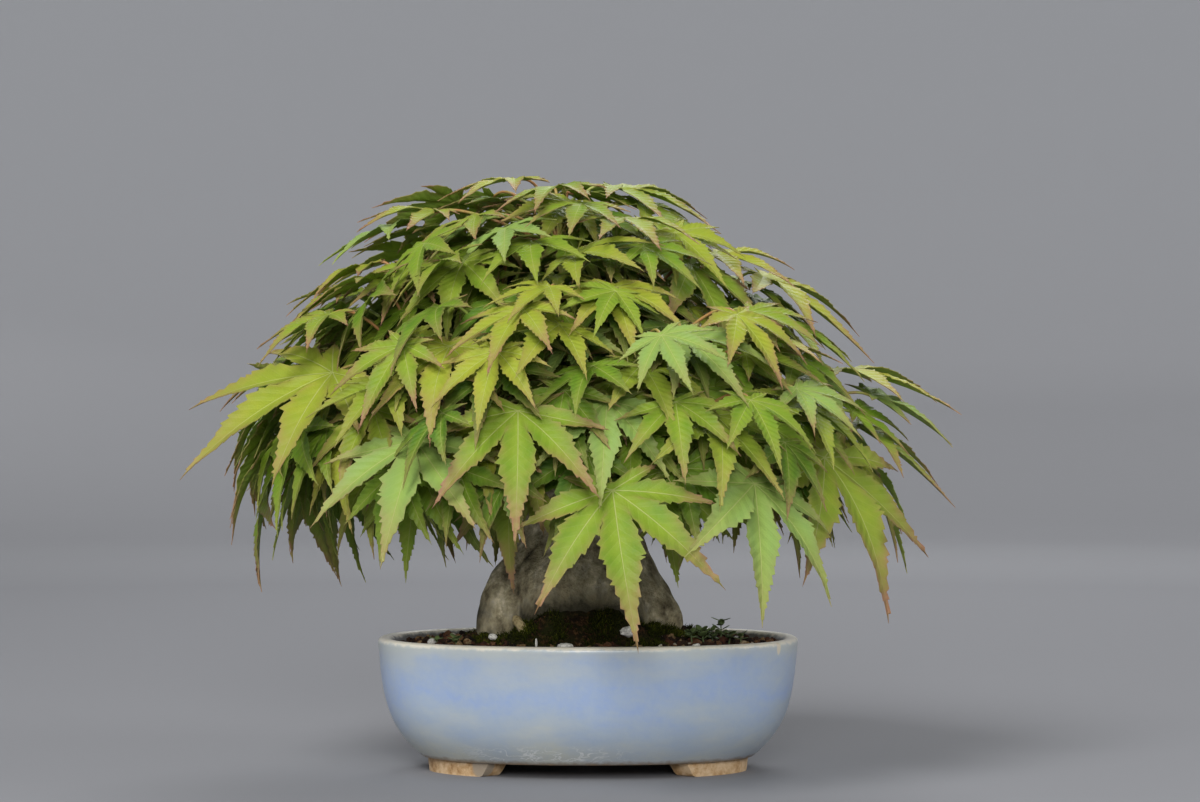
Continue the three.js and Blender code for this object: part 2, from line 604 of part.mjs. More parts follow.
// A leaf of the photograph: its junction is where the line of sight meets the front of the dome.
function seenPlace(index, attempt) {
  const seen = SEEN_LEAVES[index];
  const eye = vec(CAMERA.x, -CAMERA.distance, CAMERA.height);
  let share = 1;
  const ray = (x, z, k) => eye.clone().lerp(vec(x, 0, z), k);
  for (let k = 0.86; k <= 1; k += 0.001) {
    share = k;
    const p = ray(seen.at[0], seen.at[1], k);
    const height = (p.z - DOME.base) / DOME.rise;
    if (height >= 1) continue;
    const across = Math.max(0, 1 - Math.max(height, 0) ** DOME.roundness) ** (1 / DOME.roundness);
    if (offAxis(p).length() <= across) break;
  }
  const junction = ray(seen.at[0], seen.at[1], share);
  const tip = ray(seen.tip[0], seen.tip[1], share);
  const along = tip.sub(junction);
  const toward = Math.sqrt(Math.max(seen.length ** 2 - along.lengthSq(), 16));
  along.y -= toward;
  const facing = skinNormal(junction).add(vec(...FACING_BIAS));
  const place = placeOf(junction, along, facing, seen.length);
  place.d.applyAxisAngle(place.s, -Math.asin(BLADE.droop)); // so that the drooping tip lands where it was seen
  return attempted(place, index, attempt, vec(0, -1, 0));
}

// The rest of the leaves: a spiral of the golden angle down the dome, lapped like tiles. Each blade
// leans out of the dome's skin, so that it hangs over the leaves below, and rolls over its neighbour.
function rulePlace(leaf, layer, index, attempt) {
  const down = (index + 0.5) / layer.count;
  const turn = index * GOLDEN_ANGLE;
  const height = 1 - LAP.reach * down ** LAP.crowding + spread(leaf, 1, LAP.heightSpread);
  const junction = domePoint(height, turn, layer.depth + spread(leaf, 2, LAP.depthSpread));
  const outward = domeNormal(height, turn);
  const downhill = vec(outward.x * outward.z, outward.y * outward.z, outward.z ** 2 - 1).normalize();
  downhill.applyAxisAngle(outward, radians(spread(leaf, 3, LAP.heading)));
  const lean = radians((LAP.lean + spread(leaf, 4, LAP.leanSpread)) * Math.min(1, LAP.crownLean + LAP.leanGain * down));
  const along = downhill.clone().multiplyScalar(Math.cos(lean)).addScaledVector(outward, Math.sin(lean));
  const size = THREE.MathUtils.lerp(LAP.crownSize, LAP.rimSize, down) * (1 + spread(leaf, 5, LAP.sizeSpread));
  const place = placeOf(junction, along, outward, size);
  place.n.applyAxisAngle(place.d, radians(LAP.roll + spread(leaf, 6, LAP.rollSpread)));
  return attempted(place, leaf, attempt, outward);
}

// Each further attempt lifts or sinks a leaf and turns it a little more, until it hangs clear.
function attempted(place, leaf, attempt, outward) {
  if (attempt > 0) {
    const reach = Math.ceil(attempt / 2);
    place.size *= 1 - ATTEMPT.shrink * attempt;
    const sway = (use) => radians(spread(leaf, use + attempt, ATTEMPT.sway + ATTEMPT.swayGain * reach));
    place.junction.addScaledVector(outward, (attempt % 2 ? 1 : -1) * ATTEMPT.step * reach);
    place.d.applyAxisAngle(place.s, sway(20)).applyAxisAngle(place.n, sway(60));
    place.n.applyAxisAngle(place.d, sway(100));
  }
  place.n.addScaledVector(place.d, -place.n.dot(place.d)).normalize();
  place.s.crossVectors(place.n, place.d);
  return place;
}

// The green shoot that carries a spray, from just past the end of its woody twig.
function shootSolid(shoot) {
  const along = shoot.hub.clone().sub(shoot.foot).normalize();
  const from = shoot.foot.clone().addScaledVector(along, GAP);
  const bud = new THREE.OctahedronGeometry(SHOOT.bud, 0).translate(shoot.hub.x, shoot.hub.y, shoot.hub.z);
  return limb(new THREE.LineCurve3(from, shoot.hub), SHOOT.radius, SHOOT.tip, 4, 1).add(solidOf(bud));
}

function nearestShoot(shoots, junction) {
  return shoots.reduce((best, s) => (
    s.hub.distanceTo(junction) < best.hub.distanceTo(junction) ? s : best
  ));
}

const boxesMeet = (a, b, margin) => [0, 1, 2].every(
  (k) => a.min[k] - margin < b.max[k] && b.min[k] - margin < a.max[k],
);

function growLeaves(shoots, wood) {
  const taken = [{ solid: wood, box: wood.boundingBox(), owner: null }];
  for (const shoot of shoots) {
    const solid = shootSolid(shoot);
    shoot.parts = [solid];
    taken.push({ solid, box: solid.boundingBox(), owner: shoot });
  }
  const junctions = [];
  const offers = SEEN_LEAVES.map((_, index) => ({ index }));
  for (const layer of LAYERS) {
    for (let index = 0; index < layer.count; index++) offers.push({ layer, index });
  }
  offers.forEach(({ layer, index }, leaf) => {
    for (let attempt = 0; attempt < ATTEMPT.most; attempt++) {
      const place = layer ? rulePlace(leaf, layer, index, attempt) : seenPlace(leaf, attempt);
      if (layer && junctions.some((j) => j.distanceTo(place.junction) < CLOSEST_LEAVES)) continue;
      place.shoot = nearestShoot(shoots, place.junction);
      const solid = leafSolid(place);
      const box = solid.boundingBox();
      if (layer && box.max[2] > HIGHEST_TIP) continue;
      const blade = leafSolid(place, false);
      const clear = taken.every((other) => {
        if (!boxesMeet(box, other.box, GAP)) return true;
        if (other.owner !== place.shoot) return solid.minGap(other.solid, GAP) >= GAP;
        return blade.minGap(other.solid, GAP) >= GAP && (!other.blade || solid.minGap(other.blade, GAP) >= GAP);
      });
      if (!clear || !isSound(Manifold.union([...place.shoot.parts, solid]).asOriginal().simplify(SLIVER))) continue;
      place.shoot.parts.push(solid);
      taken.push({ solid, blade, box, owner: place.shoot });
      junctions.push(place.junction);
      break;
    }
  });
}

// Materials

const paint = (color, roughness) => new THREE.MeshStandardMaterial({ color, roughness, metalness: 0 });
const MATERIALS = {
  glaze: paint(0x93a6c8, 0.28),
  soil: paint(0x33281c, 0.95),
  netting: paint(0x22262a, 0.6),
  bark: paint(0x6d6350, 0.85),
  leaf: paint(0x9db545, 0.5),
};

// Assembly

const bonsai = new THREE.Group();
const pot = makePot();
const nets = [-1, 1].map(makeDrainMesh);
const shoots = makeShoots();
const wood = makeWood(shoots);
const soil = makeSoil(nets);
growLeaves(shoots, wood);

bonsai.add(meshOf('pot', pot, MATERIALS.glaze));
bonsai.add(meshOf('drain_mesh_left', nets[0], MATERIALS.netting));
bonsai.add(meshOf('drain_mesh_right', nets[1], MATERIALS.netting));
bonsai.add(meshOf('soil', soil, MATERIALS.soil));
bonsai.add(meshOf('trunk', wood, MATERIALS.bark));
for (const shoot of shoots) {
  bonsai.add(meshOf(shoot.name, tidied(Manifold.union(shoot.parts)), MATERIALS.leaf));
}
const middle = new THREE.Box3().setFromObject(bonsai).getCenter(vec(0, 0, 0));
bonsai.position.set(-middle.x, -middle.y, -TABLE); // the origin is on the table, under the middle of the crown

export default bonsai;
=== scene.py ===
# %% [markdown]
# A small Japanese maple in an oval glazed pot. The CAD model already holds the pot, the soil, the trunk
# with its branches and twenty-three leafy sprays. In this lesson each of them gets the form and finish that
# the eye expects close up: a crackled glaze over clay, gritty soil with moss, furrowed bark, and toothed,
# veined leaves that let light through.

# %% Load the CAD frame
import json
import math
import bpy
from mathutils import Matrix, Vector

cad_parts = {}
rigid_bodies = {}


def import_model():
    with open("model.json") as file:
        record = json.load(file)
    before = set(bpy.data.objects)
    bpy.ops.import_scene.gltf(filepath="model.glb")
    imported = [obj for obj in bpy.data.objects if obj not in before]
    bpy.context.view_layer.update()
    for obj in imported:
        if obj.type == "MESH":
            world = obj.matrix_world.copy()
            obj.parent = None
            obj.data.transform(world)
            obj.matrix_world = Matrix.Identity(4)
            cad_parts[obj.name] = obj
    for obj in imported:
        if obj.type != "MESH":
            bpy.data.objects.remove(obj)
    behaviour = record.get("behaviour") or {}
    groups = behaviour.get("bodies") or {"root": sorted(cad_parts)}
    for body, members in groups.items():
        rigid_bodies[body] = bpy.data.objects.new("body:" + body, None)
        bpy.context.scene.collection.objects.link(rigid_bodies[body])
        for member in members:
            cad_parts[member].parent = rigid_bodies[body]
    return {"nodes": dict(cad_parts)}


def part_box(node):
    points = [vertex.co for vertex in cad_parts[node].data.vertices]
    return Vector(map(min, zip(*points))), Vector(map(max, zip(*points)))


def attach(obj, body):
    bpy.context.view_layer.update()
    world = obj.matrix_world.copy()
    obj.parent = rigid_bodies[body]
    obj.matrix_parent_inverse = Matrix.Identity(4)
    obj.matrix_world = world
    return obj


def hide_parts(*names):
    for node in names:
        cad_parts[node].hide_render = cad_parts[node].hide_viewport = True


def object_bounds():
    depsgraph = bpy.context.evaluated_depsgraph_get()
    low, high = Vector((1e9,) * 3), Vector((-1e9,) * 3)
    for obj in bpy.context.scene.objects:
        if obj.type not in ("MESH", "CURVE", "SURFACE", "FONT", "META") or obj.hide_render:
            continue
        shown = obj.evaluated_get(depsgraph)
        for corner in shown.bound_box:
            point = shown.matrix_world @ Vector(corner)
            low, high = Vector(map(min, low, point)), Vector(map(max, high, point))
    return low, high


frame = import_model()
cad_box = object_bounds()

from types import SimpleNamespace

import bmesh
import bpy
import numpy as np
from mathutils import Matrix, Vector, kdtree, noise
from mathutils.bvhtree import BVHTree

print("CAD nodes:", len(frame["nodes"]))

# %% [markdown]
# The camera stands level in front of the pot, about an arm and a half away. A long lens from there keeps
# the near leaves from looking too large. It could be aimed by hand, but three measured numbers are easier
# to repeat.

# %% Camera
pot_low, pot_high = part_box("pot")
pot_middle = (np.array(pot_low) + np.array(pot_high)) / 2
TABLE = -0.0021  # the table's level, from the level that the pot's and the tree's heights are measured from
SHOT = SimpleNamespace(x=0.0034, distance=0.9, height=0.1026, lens=94.5)  # from the pot's middle

camera_data = bpy.data.cameras.new("camera")
camera_data.sensor_width = 36
camera_data.lens = SHOT.lens
camera = bpy.data.objects.new("camera", camera_data)
camera.location = (pot_middle[0] + SHOT.x, pot_middle[1] - SHOT.distance, SHOT.height - TABLE)
camera.rotation_euler = (math.pi / 2, 0, 0)
bpy.context.scene.collection.objects.link(camera)
bpy.context.scene.camera = camera
bpy.context.scene.view_settings.view_transform = "Standard"  # fresh leaf greens stay as vivid as they are
print("camera at", tuple(round(c, 4) for c in camera.location))

# %% [markdown]
# A few small helpers serve every step. Colours are written as the hex values a colour picker shows, and
# Blender calculates in linear light, so one function converts them. One function adds a shader node with
# its settings and links, and gives back its output, so that materials read as a list of steps from noise to
# shader.

# %% Helpers for places, colours and nodes
MM = 0.001
POT_CENTRE = np.array([pot_middle[0], pot_middle[1], -TABLE]) / MM  # where measures start, in millimetres


def spot_at(x, y, z):
    """A place in millimetres from the pot's middle, as the metres that material coordinates use."""
    return tuple(float(v) for v in (np.array([x, y, z]) + POT_CENTRE) * MM)


def linear(hex_colour):
    """An sRGB hex colour as linear RGBA."""
    parts = [int(hex_colour[i:i + 2], 16) / 255 for i in (1, 3, 5)]
    return [p / 12.92 if p <= 0.04045 else ((p + 0.055) / 1.055) ** 2.4 for p in parts] + [1]


def add(tree, kind, inputs=(), out=None, stops=(), **settings):
    """Adds a node and gives back one of its outputs.

    Inputs are values or other nodes' outputs, in order or by name. Stops are a ramp's positions and colours.
    """
    made = tree.nodes.new("ShaderNode" + kind)
    for key, value in settings.items():
        setattr(made, key, value)
    for key, value in inputs.items() if isinstance(inputs, dict) else enumerate(inputs):
        if isinstance(value, bpy.types.NodeSocket):
            tree.links.new(value, made.inputs[key])
        else:
            made.inputs[key].default_value = value
    for i, (place, colour) in enumerate(stops):
        ramp = made.color_ramp.elements
        stop = ramp[i] if i < 2 else ramp.new(place)
        stop.position = place
        stop.color = linear(colour)
    shown = [socket for socket in made.outputs if socket.enabled]
    return made.outputs[out] if out else shown[0]


def new_material(name):
    """A node material and its empty tree."""
    material = bpy.data.materials.new(name)
    material.use_nodes = True
    tree = material.node_tree
    tree.nodes.clear()
    return material, tree


def finish_material(tree, shader):
    """Links the last shader to the material's output."""
    tree.links.new(shader, tree.nodes.new("ShaderNodeOutputMaterial").inputs[0])


# %% [markdown]
# Every piece is an array of points in millimetres with its faces. Small errors in the names or slots of
# pieces are hard to find later, so one function makes the object and another gives it its finish and ties
# it to the part.

# %% Helpers for meshes
def mesh_object(name, points, faces):
    """An object from points in millimetres, measured from the pot's middle."""
    mesh = bpy.data.meshes.new(name)
    world = (np.asarray(points, float) + POT_CENTRE) * MM
    mesh.from_pydata(world.tolist(), [], [tuple(f) for f in faces])
    made = bpy.data.objects.new(name, mesh)
    bpy.context.scene.collection.objects.link(made)
    return made


def finish_piece(piece, materials, replaced=(), sharp=None):
    """Materials, smooth shading with edges kept sharp past an angle, and the piece's place in the part."""
    for material in materials:
        piece.data.materials.append(material)
    piece.data.shade_smooth()
    if sharp:
        piece.data.set_sharp_from_angle(angle=math.radians(sharp))
    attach(piece, "root")
    if replaced:
        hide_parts(*replaced)


def make_piece(name, points, faces, materials, replaced=(), looks=None, maps=None, sharp=None):
    """A finished piece, with the material index of each face and any vertex maps."""
    piece = mesh_object(name, points, faces)
    for key, values in (maps or {}).items():
        values = np.asarray(values, np.float32)
        is_vector = values.ndim == 2
        layer = piece.data.attributes.new(key, "FLOAT_VECTOR" if is_vector else "FLOAT", "POINT")
        layer.data.foreach_set("vector" if is_vector else "value", values.ravel())
    finish_piece(piece, materials, replaced, sharp)
    if looks is not None:
        piece.data.polygons.foreach_set("material_index", np.asarray(looks, np.int32))
    piece.data.update()


# %% [markdown]
# The studio is a round sweep of card: a floor that curves up into a wall, so that no view shows a corner.
# The card pales away from the middle, where it gets less light, so that the backdrop is an even grey. Soft
# boxes stand to the upper left, in front, to the right and behind. Large lamps give the soft shadows of a
# cloudy sky.

# %% Studio sweep and lights
SWEEP = SimpleNamespace(flat=1500, bend=700, wall=2600, sides=64, steps=9)


def studio_sweep():
    arc = np.linspace(0, math.pi / 2, SWEEP.steps)
    profile = [(SWEEP.flat + SWEEP.bend * math.sin(a), SWEEP.bend * (1 - math.cos(a))) for a in arc]
    profile.append((SWEEP.flat + SWEEP.bend, SWEEP.wall))
    turns = np.arange(SWEEP.sides) * 2 * math.pi / SWEEP.sides
    points = [(0, 0, 0)]
    faces = []
    for radius, height in profile:
        points += [(radius * math.cos(t), radius * math.sin(t), height) for t in turns]
    for i in range(SWEEP.sides):
        j = (i + 1) % SWEEP.sides
        faces.append((0, 1 + i, 1 + j))
        for k in range(len(profile) - 1):
            low = 1 + k * SWEEP.sides
            faces.append((low + i, low + i + SWEEP.sides, low + j + SWEEP.sides, low + j))
    mesh = bpy.data.meshes.new("studio_sweep")
    mesh.from_pydata((np.array(points) * MM).tolist(), [], faces)
    mesh.shade_smooth()
    return mesh


card, tree = new_material("pale_card")
place = add(tree, "TexCoord", out="Object")
level = add(tree, "VectorMath", [place, (1, 1, 0)], operation="MULTIPLY")
far = add(tree, "VectorMath", [level], operation="LENGTH")
share = add(tree, "MapRange", [far, 0, (SWEEP.flat + SWEEP.bend) * MM, 0, 1])
tint = add(tree, "ValToRGB", [share], stops=[
    (0.0, "#828387"), (1.0, "#ced0d4"), (0.42, "#8b8c90"), (0.57, "#9d9ea2"), (0.73, "#b3b4b8"),
    (0.8, "#c0c1c5"), (0.87, "#cecfd3")])
paper = add(tree, "BsdfPrincipled", {"Base Color": tint, "Roughness": 0.9, "Specular IOR Level": 0.2})
finish_material(tree, paper)
sweep_mesh = studio_sweep()
sweep_mesh.materials.append(card)
sweep = bpy.data.objects.new("studio_sweep", sweep_mesh)
bpy.context.scene.collection.objects.link(sweep)

LAMPS = [  # name, place in metres, width, power in watts
    ("key_box", (-0.5, -0.85, 1.1), 0.7, 16),
    ("front_box", (0.02, -1.5, 0.54), 0.5, 12),
    ("right_box", (1.1, -0.2, 0.8), 0.7, 3),
    ("back_box", (0.2, 1.1, 1.0), 0.8, 8),
]
AIM = Vector((0, 0, 0.09))  # the middle of the tree
for name, place, width, power in LAMPS:
    lamp_data = bpy.data.lights.new(name, "AREA")
    lamp_data.shape = "DISK"
    lamp_data.size = width
    lamp_data.energy = power
    lamp = bpy.data.objects.new(name, lamp_data)
    lamp.location = place
    lamp.rotation_euler = (AIM - Vector(place)).to_track_quat("-Z", "Y").to_euler()
    bpy.context.scene.collection.objects.link(lamp)

world = bpy.data.worlds.new("studio_air")
world.use_nodes = True
air = world.node_tree.nodes["Background"].inputs
air["Color"].default_value = linear("#e6e4e0")
air["Strength"].default_value = 0.23
bpy.context.scene.world = world
print("lamps:", len(LAMPS))

# %% [markdown]
# The pot is stoneware, pressed in a mould and dipped in a pale blue glaze. It is one closed wall that
# curves in to the base, with a soft lip. A lofted stack of oval rings gives that wall exactly, and each
# ring costs one line.

# %% Pot: rings of the wall
POT = SimpleNamespace(
    half_length=60, half_depth=42, height=35.4, base=1.7, wall=4.2, floor=4, roundness=2.25,
    slope=3, curve_in=10, curve_power=4, sides=192, hole_radius=4.5, hole_spacing=44,
)
FLOOR_TOP = POT.base + POT.floor


def oval(turns, inset):
    """Points of the pot's oval plan at an inset from the rim."""
    power = 2 / POT.roundness
    c, s = np.cos(turns), np.sin(turns)
    x = (POT.half_length - inset) * np.sign(c) * np.abs(c) ** power
    y = (POT.half_depth - inset) * np.sign(s) * np.abs(s) ** power
    return np.stack([x, y], axis=1)


def wall_inset(z):
    down = (POT.height - z) / (POT.height - POT.base)
    return POT.curve_in * down ** POT.curve_power + POT.slope * down


def ring_at(z, inset, sides=POT.sides):
    flat = oval(np.arange(sides) * 2 * math.pi / sides, inset)
    return np.column_stack([flat, np.full(sides, float(z))])


def loft(rings, first_cap=True, last_cap=True):
    """Skins rings, lowest first and counter-clockwise from above, and closes both ends with one face each."""
    sides = len(rings[0])
    points = np.concatenate(rings)
    faces = []
    for r in range(len(rings) - 1):
        for i in range(sides):
            j = (i + 1) % sides
            a, b = r * sides + i, r * sides + j
            faces.append((a, b, b + sides, a + sides))
    last = (len(rings) - 1) * sides
    if first_cap:
        faces.append(tuple(range(sides - 1, -1, -1)))
    if last_cap:
        faces.append(tuple(range(last, last + sides)))
    return points, faces


LIP = [(34.2, 0.12), (34.75, 0.28), (35.1, 0.6), (35.32, 1.05), (35.4, 1.6),
       (35.4, 2.5), (35.28, 3.15), (34.95, 3.7), (34.4, 4.15), (33.4, 4.4)]
EDGE = [(1.7, 15.0), (1.7, 13.8), (1.95, 12.6)]  # the rounded arris under the wall
SWELL = SimpleNamespace(high=0.13, across=14, up=9)


def glaze_swell(points):
    """Glaze lies in soft runs, so the wall swells and sinks by a tenth of a millimetre."""
    swell = [noise.noise(Vector((x / SWELL.across, y / SWELL.across, z / SWELL.up))) for x, y, z in points]
    out = points[:, :2] / np.linalg.norm(points[:, :2], axis=1, keepdims=True)
    return np.column_stack([points[:, :2] + SWELL.high * np.array(swell)[:, None] * out, points[:, 2]])


OUTER_HEIGHTS = [2.3, 2.8, 3.4, 4.2, 5, 6, 7.2, 8.6, 10, 12, 14, 16, 18.5, 21, 23.5, 26, 28.5, 31, 32.6, 33.6]
INNER_HEIGHTS = [30, 22, FLOOR_TOP + 5, FLOOR_TOP + 1]
stations = EDGE + [(z, wall_inset(z)) for z in OUTER_HEIGHTS] + LIP
stations += [(z, wall_inset(z) + POT.wall) for z in INNER_HEIGHTS]
stations += [(FLOOR_TOP, wall_inset(FLOOR_TOP) + POT.wall + 1), (FLOOR_TOP, 30)]
pot_points, pot_faces = loft([ring_at(z, inset) for z, inset in stations])
pot_points = glaze_swell(pot_points)
print("pot wall:", len(stations), "rings")

# %% [markdown]
# The four feet are blocks bent along the oval and drawn in towards the table. The bowl, the feet and the
# two drain holes are one fired body, so Boolean modifiers join them before the piece is made.

# %% Pot: feet, drain holes and the joined body
FOOT = SimpleNamespace(inner=0.8, start=8, end=57, steps=20, sink=2)  # start and end in degrees
FOOT_LEVELS = [(-2.1, 0.78), (-1.8, 0.82), (-0.9, 0.86), (0.6, 0.91), (POT.base + FOOT.sink, 1.0)]
DRILL = SimpleNamespace(low=-1, high=12, sides=48)


def foot_ring(z, share, mirror):
    inset = wall_inset(POT.base) + 1
    middle, half = (FOOT.start + FOOT.end) / 2, (FOOT.end - FOOT.start) / 2 * share
    turns = np.radians(np.linspace(middle - half, middle + half, FOOT.steps))
    outer = oval(turns, inset)
    inner = oval(turns[::-1], inset) * (1 - (1 - FOOT.inner) * share)
    ring = np.concatenate([outer * (0.985 + 0.015 * share), inner]) * mirror
    ring = np.column_stack([ring, np.full(len(ring), float(z))])
    return ring if mirror[0] * mirror[1] > 0 else ring[::-1]


def boolean(target, tool, operation):
    """Applies one exact Boolean to the target's mesh and removes the tool."""
    modifier = target.modifiers.new("join", "BOOLEAN")
    modifier.operation = operation
    modifier.solver = "EXACT"
    modifier.object = tool
    shaped = target.evaluated_get(bpy.context.evaluated_depsgraph_get())
    mesh = bpy.data.meshes.new_from_object(shaped)
    target.modifiers.clear()
    target.data = mesh
    bpy.data.objects.remove(tool)


body = mesh_object("pot_glazed", pot_points, pot_faces)
for mirror in ([1, 1], [-1, 1], [-1, -1], [1, -1]):
    rings = [foot_ring(z, share, np.array(mirror)) for z, share in FOOT_LEVELS]
    boolean(body, mesh_object("foot", *loft(rings)), "UNION")
turns = np.arange(DRILL.sides) * 2 * math.pi / DRILL.sides
circle = POT.hole_radius * np.stack([np.cos(turns), np.sin(turns)], axis=1)
for sign in (-1, 1):
    hole = circle + [sign * POT.hole_spacing / 2, 0]
    rings = [np.column_stack([hole, np.full(DRILL.sides, float(z))]) for z in (DRILL.low, DRILL.high)]
    boolean(body, mesh_object("drill", *loft(rings)), "DIFFERENCE")
print("pot body:", len(body.data.polygons), "faces")

# %% [markdown]
# Chun style glaze: thick and milky, blue where it lies deep, hazy grey near the base and below the lip, and
# thin and sandy where it breaks over the lip, where the cream band is also a painted highlight. White crawls
# show low on the front. A chip is missing at the right end of the rim, and the inside wall is darker from the
# soil up to the lip. A Map Range node turns a height or a distance in metres into the share of each layer:
# its inputs are the value, the two ends of the border, and the share at each end. Noise keeps borders ragged.

# %% Glaze: where each layer lies
glaze, tree = new_material("chun_blue_glaze_on_stoneware")
place = add(tree, "TexCoord", out="Object")
height = add(tree, "SeparateXYZ", [place], out="Z")
level_run = add(tree, "Mapping", {0: place, "Scale": (30, 30, 70)})
clouds = add(tree, "TexNoise", {"Vector": level_run, "Scale": 1, "Detail": 6, "Roughness": 0.6})
mottle = add(tree, "TexNoise", {"Vector": place, "Scale": 420, "Detail": 4, "Roughness": 0.6})
speck = add(tree, "MapRange", [mottle, 0.36, 0.68, 0, 0.38])
ragged = add(tree, "MapRange", [mottle, 0.3, 0.7, -0.0004, 0.0004])
sagged = add(tree, "MapRange", [clouds, 0.3, 0.7, -0.0008, 0.0008])
lip_height = add(tree, "Math", [height, ragged], operation="ADD")
haze = add(tree, "Math", [lip_height, sagged], operation="ADD")
haze = add(tree, "MapRange", [haze, 0.0330, 0.0368, 0, 0.7])
# The cream band on the lip: partly glaze thinning over the edge, partly a painted highlight.
lip_thin_glaze_and_painted_highlight = add(tree, "MapRange", [lip_height, 0.0363, 0.0371, 0, 0.92])
wavy = add(tree, "Mapping", {0: place, "Scale": (210, 210, 520)})
crawl = add(tree, "TexNoise", {"Vector": wavy, "Scale": 1, "Detail": 3, "Distortion": 0.8})
crawl = add(tree, "Math", [crawl, 0.5], operation="SUBTRACT")
crawl = add(tree, "Math", [crawl], operation="ABSOLUTE")
crawl = add(tree, "MapRange", [crawl, 0.034, 0.006, 0, 0.85])
low = add(tree, "VectorMath", [place, spot_at(-12, -32, 5)], operation="DISTANCE")
low = add(tree, "MapRange", [low, 0.026, 0.010, 0.06, 1])
belt = add(tree, "MapRange", [height, 0.0100, 0.0075, 0, 1])
CAVITY = (1 / 0.0576, 1 / 0.0396, 0)  # one over the half length and half width inside the lip, in metres
# The inside wall is darker from the soil up to the lip.
inner_wall_darkening = add(tree, "VectorMath", [place, spot_at(0, 0, 0)], operation="SUBTRACT")
inner_wall_darkening = add(tree, "VectorMath", [inner_wall_darkening, CAVITY], operation="MULTIPLY")
inner_wall_darkening = add(tree, "VectorMath", [inner_wall_darkening], operation="LENGTH")
inner_wall_darkening = add(tree, "MapRange", [inner_wall_darkening, 1.022, 1.008, 0, 0.85])
above_soil = add(tree, "MapRange", [height, 0.0295, 0.0300, 0, 1])
under_lip = add(tree, "MapRange", [lip_height, 0.0371, 0.0363, 0, 1])
for limit in (low, belt):
    crawl = add(tree, "Math", [crawl, limit], operation="MULTIPLY")
for limit in (above_soil, under_lip):
    inner_wall_darkening = add(tree, "Math", [inner_wall_darkening, limit], operation="MULTIPLY")
CHIP_SCALE = (1, 1, 0.45)  # the chip is taller than it is wide
chip_at = [-v * s for v, s in zip(spot_at(53.4, -22, 34), CHIP_SCALE)]
chip = add(tree, "Mapping", {0: place, "Location": chip_at, "Scale": CHIP_SCALE})
chip = add(tree, "VectorMath", [chip], operation="LENGTH")
chip = add(tree, "MapRange", [chip, 0.0012, 0.0008, 0, 0.9])
rim_line = add(tree, "Math", [height, ragged], operation="SUBTRACT")
brown = add(tree, "MapRange", [rim_line, 0.0052, 0.0042, 0, 0.75])
print("glaze layers placed with", len(tree.nodes), "nodes")

# %% [markdown]
# The layers are laid over the blue one after another. A colour Mix node takes its share at input 0 and its
# two colours at 6 and 7. The feet stay bare clay with iron spots, but one run of glaze covers part of a
# foot. Glaze is glass, so it takes IOR 1.5.

# %% Glaze: colours, clay and shader
drift = add(tree, "MapRange", [clouds, 0.25, 0.75, -0.34, 0.34])
depth = add(tree, "MapRange", [height, 0.0038, 0.0375, 0, 1])
depth = add(tree, "Math", [depth, drift], use_clamp=True)
colour = add(tree, "ValToRGB", [depth], stops=[
    (0.0, "#c9ccc2"), (1.0, "#b6c0c8"), (0.16, "#bdc5c8"), (0.34, "#adbccd"), (0.58, "#9fb4d8"),
    (0.8, "#a6b7d0")])
# Of these, #f0e8d6 is the lip band, partly a painted highlight, and #4a4338 darkens the inside wall.
layers = [(speck, "#b7c3cc"), (crawl, "#e9ebea"), (haze, "#c6cac2"), (lip_thin_glaze_and_painted_highlight, "#f0e8d6"), (inner_wall_darkening, "#4a4338"),
          (chip, "#e3d8bf"), (brown, "#8a6f4e")]
for layer, tint in layers:
    colour = add(tree, "Mix", {0: layer, 6: colour, 7: linear(tint)}, data_type="RGBA")
iron = add(tree, "TexNoise", {"Vector": place, "Scale": 260, "Detail": 5, "Roughness": 0.7})
clay = add(tree, "ValToRGB", [iron], stops=[
    (0.3, "#835c36"), (0.7, "#dcc29e"), (0.42, "#b89467"), (0.54, "#cfb18a")])
bare = add(tree, "MapRange", [rim_line, 0.0041, 0.0037, 0, 1])
run_down = add(tree, "VectorMath", [place, spot_at(-29.2, -24, 1)], operation="DISTANCE")
run_down = add(tree, "Math", [run_down, ragged], operation="ADD")
run_down = add(tree, "MapRange", [run_down, 0.0036, 0.0042, 0, 1])
bare = add(tree, "Math", [bare, run_down], operation="MULTIPLY")
colour = add(tree, "Mix", {0: bare, 6: colour, 7: clay}, data_type="RGBA")
matt = add(tree, "MapRange", [bare, 0, 1, 0.28, 0.8])
rough = add(tree, "Math", [mottle, 0.14], operation="MULTIPLY")
matt = add(tree, "Math", [matt, rough])
bump = add(tree, "Bump", {"Strength": 0.3, "Distance": 0.0002, "Height": mottle})
stoneware = add(tree, "BsdfPrincipled", {
    "Base Color": colour, "Roughness": matt, "IOR": 1.5, "Coat Weight": 0.15, "Coat Roughness": 0.15,
    "Normal": bump})
finish_material(tree, stoneware)
body.data.materials.clear()
finish_piece(body, [glaze], ["pot"], sharp=40)
print("glaze nodes:", len(tree.nodes))

# %% [markdown]
# Two squares of plastic netting keep the soil over the drain holes. They are moulded polyethylene, a
# slightly waxy dark plastic. Their CAD solids have the right shape, so they stay and only get this finish.

